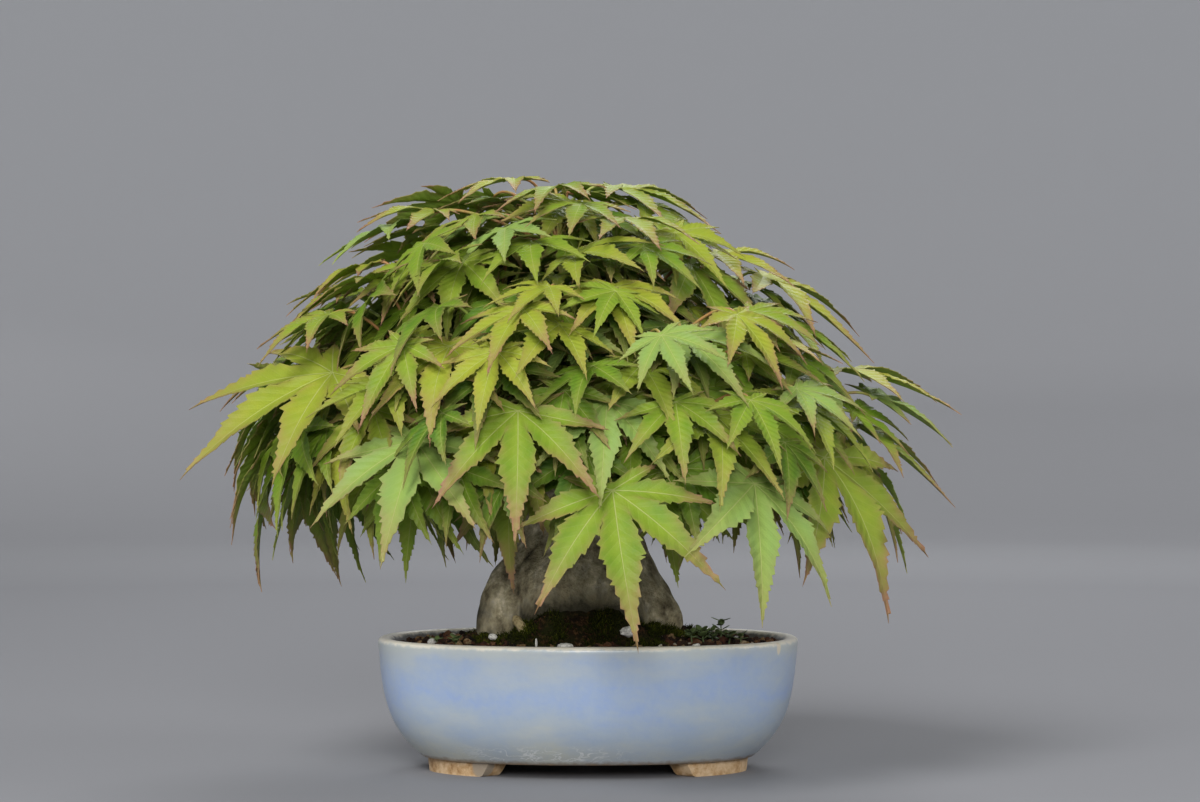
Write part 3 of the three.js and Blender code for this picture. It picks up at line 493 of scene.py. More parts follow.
# %% Drain netting material
netting, tree = new_material("moulded_polyethylene_net")
place = add(tree, "TexCoord", out="Object")
grain = add(tree, "TexNoise", {"Vector": place, "Scale": 900, "Detail": 3})
tint = add(tree, "ValToRGB", [grain], stops=[(0.35, "#1d2124"), (0.7, "#2c3236")])
dull = add(tree, "MapRange", [grain, 0.3, 0.7, 0.42, 0.62])
bump = add(tree, "Bump", {"Strength": 0.2, "Distance": 0.0001, "Height": grain})
plastic = add(tree, "BsdfPrincipled", {"Base Color": tint, "Roughness": dull, "IOR": 1.49, "Normal": bump})
finish_material(tree, plastic)
NETS = ("drain_mesh_left", "drain_mesh_right")
for node_name in NETS:
    slots = frame["nodes"][node_name].data.materials
    slots.clear()
    slots.append(netting)
print("netting on", len(NETS), "CAD nodes")

# %% [markdown]
# The trunk carries everything else, so its measures come first. It flares into seven root ridges and tapers
# to the crown. The stations below are the CAD model's, and smooth curves through them take away the facets.

# %% Trunk: stations and rings
TRUNK = np.array([  # height, centre x and y, half width, half depth, root flare
    [22, -1.9, 0.0, 27.0, 22.4, 0.10], [36, -2.2, 0.0, 27.5, 23.0, 0.10], [44, -2.5, 0.0, 26.7, 22.4, 0.09],
    [48, -2.9, 0.1, 25.5, 21.4, 0.08], [52, -3.4, 0.2, 23.9, 20.0, 0.06], [56, -3.2, 0.4, 22.0, 18.6, 0.05],
    [60, -2.3, 0.6, 19.4, 17.2, 0.04], [64, -1.5, 0.8, 17.1, 15.8, 0.04], [70, -1.4, 1.0, 16.0, 14.8, 0.03],
    [78, -0.6, 1.2, 13.8, 13.0, 0.03], [88, 0.8, 1.2, 11.4, 11.0, 0.03], [100, 0.8, 1.0, 9.2, 9.0, 0.02],
    [114, -2.0, 0.6, 7.0, 6.8, 0.02], [130, -6.0, 0.2, 4.6, 4.4, 0.0],
])
ROOTS = SimpleNamespace(count=7, turn=0.8, lean=0.5, lean_turn=-1.1)
BARK_RELIEF = [(1.2, 2.4, 13, 0), (0.9, 6, 5, 9), (0.35, 15, 4, 30)]  # strength, waves round, rise, seed
BARK = SimpleNamespace(relief=0.75, sink=0.5, sides=144)


def trunk_at(z):
    """The station at a height, on a smooth curve through the measured ones."""
    heights = TRUNK[:, 0]
    k = int(np.clip(np.searchsorted(heights, z) - 1, 0, len(TRUNK) - 2))
    slopes = np.gradient(TRUNK[:, 1:], heights, axis=0)
    span = heights[k + 1] - heights[k]
    t = (z - heights[k]) / span
    ends = TRUNK[k, 1:] * (1 + 2 * t) * (1 - t) ** 2 + TRUNK[k + 1, 1:] * t * t * (3 - 2 * t)
    return ends + span * (slopes[k] * t * (1 - t) ** 2 - slopes[k + 1] * t * t * (1 - t))


def root_ridge(turns, flare):
    """How far the root ridges stand out at each turn, as a share of the half width."""
    waves = np.cos(ROOTS.count * turns + ROOTS.turn) + ROOTS.lean * np.cos(2 * turns + ROOTS.lean_turn)
    return 1 + flare * waves


def bark_lumps(turn, z):
    c, s = math.cos(turn), math.sin(turn)
    lumps = [high * noise.noise(Vector((waves * c, waves * s, z / rise + seed)))
             for high, waves, rise, seed in BARK_RELIEF]
    return sum(lumps) - BARK.sink


def trunk_ring(z, sides, grow=0.0, relief=0.0):
    x, y, half_width, half_depth, flare = trunk_at(z)
    turns = np.arange(sides) * 2 * math.pi / sides
    if relief:
        grow = grow + relief * np.array([bark_lumps(turn, z) for turn in turns])
    ridge = root_ridge(turns, flare)
    across = x + (half_width * ridge + grow) * np.cos(turns)
    back = y + (half_depth * ridge + grow) * np.sin(turns)
    return np.column_stack([across, back, np.full(sides, float(z))])


trunk_heights = np.concatenate([[22, 30], np.arange(34, 70, 0.7), np.arange(70, 130, 1.4), [130]])
trunk_points, trunk_faces = loft([trunk_ring(z, BARK.sides, relief=BARK.relief) for z in trunk_heights])
print("trunk:", len(trunk_heights), "rings,", len(trunk_faces), "faces")

# %% [markdown]
# Leaves grow on shoots, shoots on twigs, and twigs fork from boughs. The shoots' growing points lie in
# rings inside the dome of the crown. Each pair of shoots shares a bough. Round tubes along curves make all
# of them.

# %% Shoots and branches
DOME = SimpleNamespace(left=89, right=77, front=76, back=78, base=85, rise=79, roundness=1.5, lean=-12)
SHOOT_RINGS = [("low", 0.12, 10, 9, 0.66), ("mid", 0.44, 8, 25, 0.66), ("high", 0.74, 4, 40, 0.62)]
CROWN_HUB = np.array([-8.5, 0, 146])
WOOD = {"low": (66, 5.6), "mid": (88, 4.6), "high": (108, 3.6)}
BOUGH = SimpleNamespace(pair_rise=3.5, fork=0.62, fork_rise=0.8, arch=2.5, taper=0.5)
TWIG = SimpleNamespace(thickness=0.46, tip=1.5, lead=0.45, root=0.06, root_step=0.07)
SHOOT = SimpleNamespace(out=7.2, up=5.4, radius=1.5, tip=1.3)
GAP = 0.3


def unit(v):
    return v / np.linalg.norm(v)


def dome_across(height):
    return max(0.0, 1 - max(height, 0) ** DOME.roundness) ** (1 / DOME.roundness)


def dome_point(height, turn, depth=1.0):
    c, s = math.cos(turn), math.sin(turn)
    across = dome_across(height)
    x = (DOME.right if c > 0 else DOME.left) * across * c + DOME.lean * height
    y = (DOME.back if s > 0 else DOME.front) * across * s
    return np.array([x * depth, y * depth, DOME.base + DOME.rise * height * depth])


def bezier(a, b, c, steps):
    t = np.linspace(0, 1, steps + 1)[:, None]
    return (1 - t) ** 2 * a + 2 * t * (1 - t) * b + t * t * c


def tube(path, radii, sides, first_turn=0.0):
    """A closed tube along a path, with a radius at each point."""
    path = np.asarray(path, float)
    ahead = np.gradient(path, axis=0)
    ahead /= np.linalg.norm(ahead, axis=1, keepdims=True)
    side = np.cross(ahead[0], [0.31, 0.17, 0.94])
    rings = []
    turns = np.arange(sides) * 2 * math.pi / sides + first_turn
    for p, d, r in zip(path, ahead, radii):
        side = unit(side - np.dot(side, d) * d)
        up = np.cross(d, side)
        rings.append(p + r * (np.cos(turns)[:, None] * side + np.sin(turns)[:, None] * up))
    return loft(rings)


shoots = []
for ring_name, height_share, count, first, depth in SHOOT_RINGS:
    for i in range(count):
        hub = dome_point(height_share, math.radians(first + 360 * i / count), depth)
        out = unit(hub * [1, 1, 0])
        foot = hub - SHOOT.out * out - [0, 0, SHOOT.up]
        name = f"{ring_name}_{i + 1:02d}"
        shoots.append(SimpleNamespace(name=name, ring=ring_name, pair=i // 2, hub=hub, foot=foot))
crown_foot = TRUNK[-1, [1, 2, 0]]
shoots.append(SimpleNamespace(name="crown", ring="crown", pair=0, hub=CROWN_HUB, foot=crown_foot))


def straight_middle(z):
    return np.array([np.interp(z, TRUNK[:, 0], TRUNK[:, 1]), np.interp(z, TRUNK[:, 0], TRUNK[:, 2]), z])


limbs = []
for ring_name, (first_height, radius) in WOOD.items():
    ring_shoots = [s for s in shoots if s.ring == ring_name]
    for pair in sorted({s.pair for s in ring_shoots}):
        fed = [s for s in ring_shoots if s.pair == pair]
        mean = sum(s.foot for s in fed) / len(fed)
        start = straight_middle(first_height + BOUGH.pair_rise * pair)
        fork = start + (mean - start) * BOUGH.fork
        fork[2] = start[2] + (mean[2] - start[2]) * BOUGH.fork_rise
        middle = (start + fork) / 2 + [0, 0, BOUGH.arch]
        path = bezier(start, middle, fork, 14)
        knots = 1 + 0.05 * np.sin(np.arange(15) * 2.3 + pair)
        limbs.append(tube(path, radius * np.linspace(1, BOUGH.taper, 15) * knots, 14))
        for i, shoot in enumerate(fed):
            onward = unit(shoot.hub - shoot.foot)
            bend = shoot.foot - TWIG.lead * np.linalg.norm(fork - shoot.foot) * onward
            root = fork + (start - fork) * (TWIG.root + TWIG.root_step * i)
            path = bezier(root, bend, shoot.foot, 12)
            knots = 1 + 0.08 * np.sin(np.arange(13) * 1.9 + i)
            knots[-1] = 1
            limbs.append(tube(path, np.linspace(radius * TWIG.thickness, TWIG.tip, 13) * knots, 10))


def joined(parts):
    """Several bodies of points and faces as one."""
    points, faces, start = [], [], 0
    for part_points, part_faces in parts:
        points.append(part_points)
        faces += [tuple(v + start for v in f) for f in part_faces]
        start += len(part_points)
    return np.concatenate(points), faces


print("shoots:", len(shoots), "limbs:", len(limbs))

# %% [markdown]
# Maple bark is thin and stays fairly smooth: grey brown with pale blotches of lichen, darker hollows and
# short cracks. Near the soil it is damp and nearly black, highest at the front. On the left a bit of root
# has lost its bark and shows pale wood. Bark is matt, so roughness is about 0.85.

# %% Bark: peeled root and damp zones
PEELED = [np.array(p) for p in ((-20.6, -18.0, 42.2), (-19.6, -21.4, 41.0), (-16.2, -22.6, 36.4))]
PEELED_RADII = [0.5, 0.9, 1.3, 1.4, 1.3, 1.4, 1.3, 1.1, 1.0, 0.8]
DARK_ZONES = [  # middle, squeeze sideways, distances in metres where it ends and is full, strength
    ((-1, -24, 34), 0.5, 0.009, 0.004, 0.92), ((-31, -3, 41), 1, 0.002, -0.003, 0.85),
]
peeled = tube(bezier(*PEELED, 9), PEELED_RADII, 12)
wood_points, wood_faces = joined([(trunk_points, trunk_faces), *limbs, peeled])
peeled_map = np.repeat([0.0, 1.0], [len(wood_points) - len(peeled[0]), len(peeled[0])])
bark, tree = new_material("weathered_maple_bark")
place = add(tree, "TexCoord", out="Object")
height = add(tree, "SeparateXYZ", [place], out="Z")
upright = add(tree, "Mapping", {0: place, "Scale": (400, 400, 230)})
furrows = add(tree, "TexNoise", {"Vector": upright, "Scale": 1, "Detail": 6, "Roughness": 0.62})
patches = add(tree, "TexNoise", {"Vector": place, "Scale": 170, "Detail": 7, "Roughness": 0.66})
pits = add(tree, "TexNoise", {"Vector": place, "Scale": 1100, "Detail": 3})
damp = add(tree, "Math", [patches, 0.022], operation="MULTIPLY")
damp = add(tree, "Math", [height, damp], operation="SUBTRACT")
damp = add(tree, "MapRange", [damp, 0.031, 0.024, 0, 0.85])
ragged = add(tree, "Math", [patches, 0.016], operation="MULTIPLY")
for middle, squeeze, ends, full, strength in DARK_ZONES:
    squeezed = add(tree, "VectorMath", [place, (squeeze, 1, 1)], operation="MULTIPLY")
    centre = np.array(spot_at(*middle)) * [squeeze, 1, 1]
    zone = add(tree, "VectorMath", [squeezed, centre], operation="DISTANCE")
    zone = add(tree, "Math", [zone, ragged], operation="SUBTRACT")
    zone = add(tree, "MapRange", [zone, ends, full, 0, strength])
    damp = add(tree, "Math", [damp, zone], operation="MAXIMUM")

# %% Bark: colours and shader
wood_colour = add(tree, "ValToRGB", [patches], stops=[
    (0.33, "#554c38"), (0.66, "#f0e4c8"), (0.42, "#94886a"), (0.5, "#b2a685"), (0.58, "#cfc3a2")])
shade = add(tree, "MapRange", [furrows, 0.32, 0.6, 0.5, 1.1])
wood_colour = add(tree, "Mix", {0: 1.0, 6: wood_colour, 7: shade}, data_type="RGBA", blend_type="MULTIPLY")
wood_colour = add(tree, "Mix", {0: damp, 6: wood_colour, 7: linear("#2b2818")}, data_type="RGBA")
pale_wood = add(tree, "ValToRGB", [pits], stops=[(0.35, "#8f7d52"), (0.65, "#c4b184")])
bared = add(tree, "Attribute", out="Fac", attribute_name="peeled")
wood_colour = add(tree, "Mix", {0: bared, 6: wood_colour, 7: pale_wood}, data_type="RGBA")
relief = add(tree, "Math", [furrows, pits])
bump = add(tree, "Bump", {"Strength": 0.8, "Distance": 0.0008, "Height": relief})
dull = add(tree, "MapRange", [pits, 0.3, 0.7, 0.76, 0.95])
finish_material(tree, add(tree, "BsdfPrincipled", {
    "Base Color": wood_colour, "Roughness": dull, "IOR": 1.45, "Normal": bump}))
make_piece("trunk_and_branches", wood_points, wood_faces, [bark], ["trunk"],
           maps={"peeled": peeled_map}, sharp=60)
print("bark nodes:", len(tree.nodes))

# %% [markdown]
# Bonsai soil is a loose mix of baked clay grains, bark crumbs and a little pumice. The bed below is one
# closed body that fills the pot and leaves a socket for the trunk. Its top is lumpy, and separate grains
# are strewn over it.

# %% Soil bed
SOIL = SimpleNamespace(
    edge=32.4, mound=6.6, mound_power=1.1, lump=0.9, clear=0.4, sides=160, rings=40, line=38, rough=0.35,
)


def soil_height(x, y):
    out = np.hypot(x / POT.half_length, y / POT.half_depth)
    mound = SOIL.mound * np.maximum(0, 1 - out) ** SOIL.mound_power
    crumbs = np.sin(0.83 * x + 1.7) * np.cos(0.91 * y) + np.sin(0.47 * x - 0.61 * y)
    return SOIL.edge + mound + SOIL.lump * crumbs / 2


def rough_soil(x, y):
    return noise.noise(Vector((x / 2.1, y / 2.1, 3))) + 0.6 * noise.noise(Vector((x, y, 7)))


soil_rings = [ring_at(FLOOR_TOP + 1.6, wall_inset(FLOOR_TOP) + POT.wall + 1 + SOIL.clear, SOIL.sides)]
soil_rings += [ring_at(z, wall_inset(z) + POT.wall + SOIL.clear, SOIL.sides)
               for z in (FLOOR_TOP + 5, 22, 31.6)]
outer_edge = ring_at(0, wall_inset(SOIL.edge) + POT.wall + SOIL.clear, SOIL.sides)
inner_edge = trunk_ring(SOIL.line, SOIL.sides, GAP)
for share in np.linspace(0, 1, SOIL.rings):
    ring = outer_edge * (1 - share) + inner_edge * share
    ring[:, 2] = soil_height(ring[:, 0], ring[:, 1])
    ring[:, 2] += SOIL.rough * np.array([rough_soil(x, y) for x, y, _ in ring]) * min(1, 6 * share)
    soil_rings.append(ring)
soil_rings += [trunk_ring(30, SOIL.sides, GAP + 0.2), trunk_ring(22, SOIL.sides, GAP + 0.2) - [0, 0, GAP]]
bed_points, bed_faces = loft(soil_rings)
print("soil bed:", len(bed_faces), "faces")

# %% [markdown]
# The grains are small stones: an icosahedron pushed out of shape at each corner and pressed flat a little.
# Copies with seeded sizes and turns make the whole crust. Each carries one number that picks its colour in
# the material.

# %% Strewn grains and pumice
chance = np.random.default_rng(41)


def ball(level):
    """Unit icosphere points and faces."""
    shape = bmesh.new()
    bmesh.ops.create_icosphere(shape, subdivisions=level, radius=1)
    shape.verts.ensure_lookup_table()
    points = np.array([v.co for v in shape.verts])
    faces = [tuple(v.index for v in f.verts) for f in shape.faces]
    shape.free()
    return points, faces


BALLS = {level: ball(level) for level in (1, 2, 3)}


def pebble(centre, radius, level, rough=0.22, flat=0.75):
    points, faces = BALLS[level]
    lumps = 1 + rough * chance.standard_normal(len(points)).clip(-2, 2) * (1 if level < 3 else 0.3)
    turn = Matrix.Rotation(chance.uniform(0, 6.28), 3, Vector(chance.standard_normal(3)).normalized())
    shaped = (points * lumps[:, None] * [1, chance.uniform(0.7, 1), flat]) @ np.array(turn)
    return centre + radius * shaped, faces


TRUNK_FOOT = trunk_at(SOIL.line)


def inside_trunk(x, y, margin):
    cx, cy, half_width, half_depth, flare = TRUNK_FOOT
    turn = math.atan2((y - cy) / half_depth, (x - cx) / half_width)
    out = math.hypot((x - cx) / (half_width + margin), (y - cy) / (half_depth + margin))
    return out < root_ridge(turn, flare)


def on_soil(margin=1.0):
    """A seeded point on the open soil."""
    while True:
        turn, out = chance.uniform(0, 2 * math.pi), math.sqrt(chance.uniform(0.1, 1))
        x, y = oval(np.array([turn]), wall_inset(SOIL.edge) + POT.wall + 1.6)[0] * out
        if not inside_trunk(x, y, margin):
            return np.array([x, y, float(soil_height(x, y))])


GRAIN_SIZES = {0.5: 0.35, 0.7: 0.33, 0.95: 0.22, 1.3: 0.1}  # radius and share of the grains
GRAIN_COUNT = 1500
PUMICE = [  # place on the soil, how far it stands above it, and its half length, half width and half height
    (11.3, -26.5, 4.2, 2.4, 1.7, 1.5), (-6.2, -33.0, 2.0, 2.2, 1.5, 0.8), (-26.4, -24.5, 2.4, 1.4, 1.1, 0.9),
    (-14.2, -30.5, 2.4, 0.4, 0.4, 1.4), (30.0, -25.0, 1.4, 1.5, 1.1, 1.0), (24.0, 28.0, 0.8, 1.9, 1.5, 1.2),
    (-33.0, 20.0, 0.6, 1.6, 1.3, 1.1), (43.0, 6.0, 0.5, 1.4, 1.2, 1.0), (-44.0, -8.0, 0.5, 1.5, 1.2, 1.0),
]
grains = []
grain_tones = []
for _ in range(GRAIN_COUNT):
    radius = chance.choice(list(GRAIN_SIZES), p=list(GRAIN_SIZES.values())) * chance.uniform(0.8, 1.2)
    spot = on_soil(radius + 0.4)
    grains.append(pebble(spot + [0, 0, 0.2 * radius], radius, 1 if radius < 1 else 2))
    grain_tones.append(chance.uniform(0, 0.92) ** 1.4)
for x, y, above, long, wide, tall in PUMICE:
    stone, stone_faces = pebble(np.zeros(3), 1.0, 3, rough=0.25, flat=1.0)
    spot = np.array([x, y, float(soil_height(x, y)) + above])
    grains.append((spot + stone * [long, wide, tall], stone_faces))
    grain_tones.append(1.0)
soil_points, soil_faces = joined([(bed_points, bed_faces), *grains])
sizes = [len(bed_points)] + [len(g[0]) for g in grains]
soil_tone = np.repeat([0.3] + grain_tones, sizes)
print("grains:", len(grains), "faces:", len(soil_faces))

# %% Soil material
soil_mix, tree = new_material("akadama_bark_and_pumice_mix")
place = add(tree, "TexCoord", out="Object")
tone = add(tree, "Attribute", out="Fac", attribute_name="grain_tone")
crumb = add(tree, "TexNoise", {"Vector": place, "Scale": 1500, "Detail": 4, "Roughness": 0.7})
earth = add(tree, "ValToRGB", [tone], stops=[
    (0.0, "#1a130d"), (1.0, "#f6f2e8"), (0.25, "#38271b"), (0.45, "#5a3626"), (0.65, "#7a5a3c"),
    (0.84, "#97805c"), (0.9, "#ded8c8")])
dusty = add(tree, "MapRange", [crumb, 0.35, 0.65, 0.55, 1.15])
earth = add(tree, "Mix", {0: 1.0, 6: earth, 7: dusty}, data_type="RGBA", blend_type="MULTIPLY")
bump = add(tree, "Bump", {"Strength": 0.8, "Distance": 0.0004, "Height": crumb})
finish_material(tree, add(tree, "BsdfPrincipled", {
    "Base Color": earth, "Roughness": 0.95, "Specular IOR Level": 0.25, "Normal": bump}))
make_piece("soil_with_grains", soil_points, soil_faces, [soil_mix], ["soil"],
           maps={"grain_tone": soil_tone}, sharp=45)
print("soil tones:", round(float(soil_tone.min()), 2), "to", round(float(soil_tone.max()), 2))

# %% [markdown]
# Earth and moss are banked up round the foot of the trunk, highest at the front. The bank is one closed
# ring. Up close moss is a crowd of tiny stems, each only a millimetre or two tall, so many thin spikes that
# lean every way stand on the bank. Hair would look alike, but real spikes also reach the export.

# %% Mossy bank
BANK = SimpleNamespace(
    width=8.5, sink=0.6, lift=2.8, front=6.4, front_turn=-1.53, front_width=0.68, power=1.4,
    sides=300, rings=16,
)


def round_noise(turn, waves, seed):
    """Noise that closes on itself round the trunk."""
    return noise.noise(Vector((waves * math.cos(turn), waves * math.sin(turn), seed)))


def bank_point(turn, inward):
    """A point of the bank's surface: 0 inward is its outer edge on the soil, and 1 is at the trunk."""
    cx, cy, half_width, half_depth, flare = TRUNK_FOOT
    ridge = root_ridge(turn, flare)
    out = BANK.width * (1 + 0.3 * round_noise(turn, 2, 4)) * (1 - inward) - BANK.sink
    x = cx + (half_width * ridge + out) * math.cos(turn)
    y = cy + (half_depth * ridge + out) * math.sin(turn)
    lift = BANK.lift * (1 + 0.5 * round_noise(turn, 3, 8))
    lift += BANK.front * math.exp(-((turn - BANK.front_turn) / BANK.front_width) ** 4)
    lumps = 1.5 * noise.noise(Vector((x / 2.8, y / 2.8, 2)))
    lumps += 0.8 * noise.noise(Vector((x / 1.2, y / 1.2, 6)))
    inside = min(1, np.hypot(x / (POT.half_length - 7), y / (POT.half_depth - 7)))
    z = float(soil_height(x, y)) - 0.5 + lift * inward ** BANK.power + lumps * min(1, 4 * inward) * inside
    return np.array([x, y, z])


bank_turns = np.arange(BANK.sides) * 2 * math.pi / BANK.sides
bank_turns = np.where(bank_turns > math.pi, bank_turns - 2 * math.pi, bank_turns)
bank_rings = [np.array([bank_point(turn, inward) for turn in bank_turns])
              for inward in np.linspace(0, 1, BANK.rings)]
sunk = trunk_ring(36, BANK.sides, -2.5)
bank_rings = [bank_rings[0] - [0, 0, 1.5]] + bank_rings
bank_rings.append(np.column_stack([sunk[:, :2], bank_rings[-1][:, 2] - 1.5]))
bank_rings.append(np.column_stack([sunk[:, :2], np.full(BANK.sides, SOIL.edge)]))
bank_points, bank_faces = loft(bank_rings)
mossy_earth, tree = new_material("mossy_earth")
place = add(tree, "TexCoord", out="Object")
crumb = add(tree, "TexNoise", {"Vector": place, "Scale": 900, "Detail": 5, "Roughness": 0.7})
film = add(tree, "TexNoise", {"Vector": place, "Scale": 150, "Detail": 4})
earth = add(tree, "ValToRGB", [crumb], stops=[(0.34, "#0d0905"), (0.68, "#6b4a2c"), (0.52, "#2c1e10")])
filmed = add(tree, "MapRange", [film, 0.45, 0.6, 0, 0.8])
earth = add(tree, "Mix", {0: filmed, 6: earth, 7: linear("#262c0b")}, data_type="RGBA")
bump = add(tree, "Bump", {"Strength": 1.0, "Distance": 0.0008, "Height": crumb})
finish_material(tree, add(tree, "BsdfPrincipled", {
    "Base Color": earth, "Roughness": 0.95, "Specular IOR Level": 0.2, "Normal": bump}))
print("mossy bank:", len(bank_faces), "faces")

# %% Moss spikes on the bank
MOSS = SimpleNamespace(count=10000, height=1.9, width=0.34, patch=6, lean=0.6, stray=0.45)
SPIKE_FACES = np.array([(0, 1, 3), (1, 2, 3), (2, 0, 3), (0, 2, 1)])
spikes, spike_tones = [], []
while len(spikes) < MOSS.count:
    turn = chance.uniform(-math.pi, math.pi)
    root = bank_point(turn, chance.uniform(0, 1) ** 0.7)
    patch = noise.noise(Vector((root[0] / MOSS.patch, root[1] / MOSS.patch, 5 + root[2] / MOSS.patch)))
    if patch < chance.uniform(-0.25, 0.1):
        continue
    outward = np.array([MOSS.lean * math.cos(turn), MOSS.lean * math.sin(turn), 1])
    lean = unit(outward + MOSS.stray * chance.standard_normal(3))
    tall = MOSS.height * chance.uniform(0.4, 1.1) * (0.7 + patch)
    side = unit(np.cross(lean, chance.standard_normal(3)))
    other = np.cross(lean, side)
    base = [root + MOSS.width / 2 * (math.cos(a) * side + math.sin(a) * other) for a in (0, 2.09, 4.19)]
    spikes.append(np.array([*base, root + tall * lean]))
    spike_tones += [0.0, 0.0, 0.0, chance.uniform(0.3, 0.8) + 0.5 * max(0, patch)]
moss_faces = np.concatenate([SPIKE_FACES + 4 * i for i in range(MOSS.count)]).tolist()
moss, tree = new_material("damp_cushion_moss")
tone = add(tree, "Attribute", out="Fac", attribute_name="tip_tone")
green = add(tree, "ValToRGB", [tone], stops=[(0.0, "#0f1205"), (1.0, "#8c9324"), (0.5, "#373d0e")])
finish_material(tree, add(tree, "BsdfPrincipled", {
    "Base Color": green, "Roughness": 0.9, "Specular IOR Level": 0.1}))
make_piece("moss_round_the_trunk", np.concatenate(spikes), moss_faces, [moss],
           maps={"tip_tone": spike_tones})
make_piece("mossy_bank", bank_points, bank_faces, [mossy_earth])
print("moss spikes:", len(spikes))

# %% [markdown]
# Seedling weeds come up in any bonsai pot. These stand right of the trunk, four to eight millimetres tall:
# a thin stem with a few pairs of oval leaves, each leaf a thin closed lens.

# %% Weed seedlings
WEEDS = [  # place on the soil, height, pairs of leaves, leaf length
    (37.5, -10, 7.6, 5, 3.0), (32.5, -14, 4.6, 4, 3.0), (29.0, -19, 4.0, 3, 2.6), (43.0, -8, 3.2, 3, 2.4),
    (39.5, -14, 3.4, 3, 2.6), (35.0, -11, 4.0, 4, 2.6), (-42.5, -12, 2.4, 2, 2.2), (-37.0, -18, 3.4, 3, 2.4),
    (26.0, 22, 4.0, 3, 2.6),
]
weed_parts = []
for number, (x, y, tall, pairs, long) in enumerate(WEEDS):
    root = np.array([x, y, float(soil_height(x, y)) - 0.6])
    top = root + [0.12 * tall * math.sin(5 * number), 0.1 * tall * math.cos(4 * number), tall]
    stem_path = bezier(root, (root + top) / 2 + [0.3, 0, 0], top, 6)
    weed_parts.append(tube(stem_path, np.linspace(0.26, 0.16, 7), 7))
    for pair in range(pairs):
        joint = root + (top - root) * (1 - 0.17 * pair)
        for side in (0, math.pi):
            turn = 2.1 * number + 1.4 * pair + side
            ahead = np.array([math.cos(turn), math.sin(turn), 0.35 + 0.3 * chance.uniform(-1, 1)])
            lens, lens_faces = BALLS[2]
            across = unit(np.cross(ahead, [0, 0, 1]))
            axes = np.array([unit(ahead), across, np.cross(unit(ahead), across)])
            body_of_lens = lens * [long / 2, long * 0.34, 0.14] + [long / 2, 0, 0]
            body_of_lens[:, 2] -= 0.09 * body_of_lens[:, 0] ** 2 / long
            weed_parts.append((joint + body_of_lens @ axes, lens_faces))
weed_points, weed_faces = joined(weed_parts)
weed, tree = new_material("seedling_weed_leaf")
place = add(tree, "TexCoord", out="Object")
tint = add(tree, "TexNoise", {"Vector": place, "Scale": 300, "Detail": 3})
green = add(tree, "ValToRGB", [tint], stops=[(0.35, "#3a4a24"), (0.65, "#6a7c48")])
finish_material(tree, add(tree, "BsdfPrincipled", {"Base Color": green, "Roughness": 0.6}))
make_piece("weed_seedlings", weed_points, weed_faces, [weed])
print("weed seedlings:", len(WEEDS), "with", len(weed_faces), "faces")

# %% [markdown]
# Now the leaves. Each CAD leaf hangs at a place found by a rule: a seeded draw moves it, and if it met a
# neighbour it was moved again. The same rule is repeated here. Of all the places it offers for a leaf, the
# one is taken whose lobe tips are corners of the CAD spray, so every fine leaf lies exactly where its solid
# is.

# %% Where each leaf hangs: seeded draws
LAYERS = [(230, 1.0), (90, 0.82)]
LAP = SimpleNamespace(
    lean=15, crown_lean=0.2, lean_gain=6, lean_spread=6, roll=10, roll_spread=6, heading=22,
    reach=1.04, crowding=0.85, height_spread=0.02, depth_spread=0.03,
    crown_size=25, rim_size=36, size_spread=0.12,
)
ATTEMPT = SimpleNamespace(most=25, step=1, shrink=0.008, sway=4, sway_gain=1.5)
GOLDEN_ANGLE = math.pi * (3 - math.sqrt(5))
EYE = np.array([3.4, -900, 102.6])
FACING_BIAS = np.array([0, -0.25, 0.15])
DROOP = 0.22
SEEN_LEAVES = [  # junction x and z, tip x and z in the plane of the trunk, and the middle lobe's length
    (7, 77, 14, 33, 45), (-73, 110.6, -114, 81, 50), (26.7, 121.2, 44.7, 101, 32), (-79, 116.6, -103, 100, 32),
    (36.5, 98.3, 36.5, 72.2, 34), (47.3, 79, 44.3, 37.7, 44), (-20, 99.7, -20.3, 62.8, 40),
    (-49.3, 91, -48, 52, 44), (-39.5, 118.2, -43.8, 90, 34), (-8.2, 124.4, -20, 109, 30),
    (15.4, 113, 23.2, 95.5, 32), (5.4, 102.6, 7.4, 69.3, 36), (-35.6, 142.4, -39.1, 118.9, 30),
    (7.5, 135, 12, 112.7, 30), (29.1, 141.6, 40, 114, 34), (-63, 121.3, -72.3, 81, 44),
    (-90, 110.6, -117, 79.4, 42), (-90, 79.6, -91.4, 49.7, 34), (-50.6, 141.2, -61, 123.5, 27),
    (60.4, 102, 68, 84, 32), (67.7, 86.3, 86.4, 40.3, 50), (75.1, 96.3, 102.8, 73, 38),
    (70.5, 111.5, 104.5, 99, 38), (15.7, 159, 30, 144.5, 26), (-5.2, 159.3, -13.7, 144.3, 27),
    (-20.9, 165.7, -35.9, 157.9, 26), (7.7, 163.6, 37.7, 150, 34), (-54.6, 152.5, -71, 141, 28),
    (-43.7, 156.5, -63.7, 147.2, 27), (50, 138, 80, 113.7, 40), (36.3, 144.3, 52, 128, 30),
    (48.3, 120.6, 64.5, 113.5, 28), (-3.2, 144.6, 15.4, 138.6, 28), (-10.9, 134.9, -20.6, 122.9, 24),
    (-66, 136, -84, 122, 28),
]
WORD = 0xFFFFFFFF


def draw(leaf, use):
    """A number from 0 to 1 that depends only on the leaf and on what it is for."""
    h = ((leaf + 1) * 0x9E3779B1 & WORD) ^ ((use + 1) * 0x85EBCA6B & WORD)
    h ^= h >> 15
    h = h * 0x2C1B3C6D & WORD
    h ^= h >> 12
    h = h * 0x297A2D39 & WORD
    h ^= h >> 15
    return h / 4294967296


def spread(leaf, use, reach):
    return (2 * draw(leaf, use) - 1) * reach


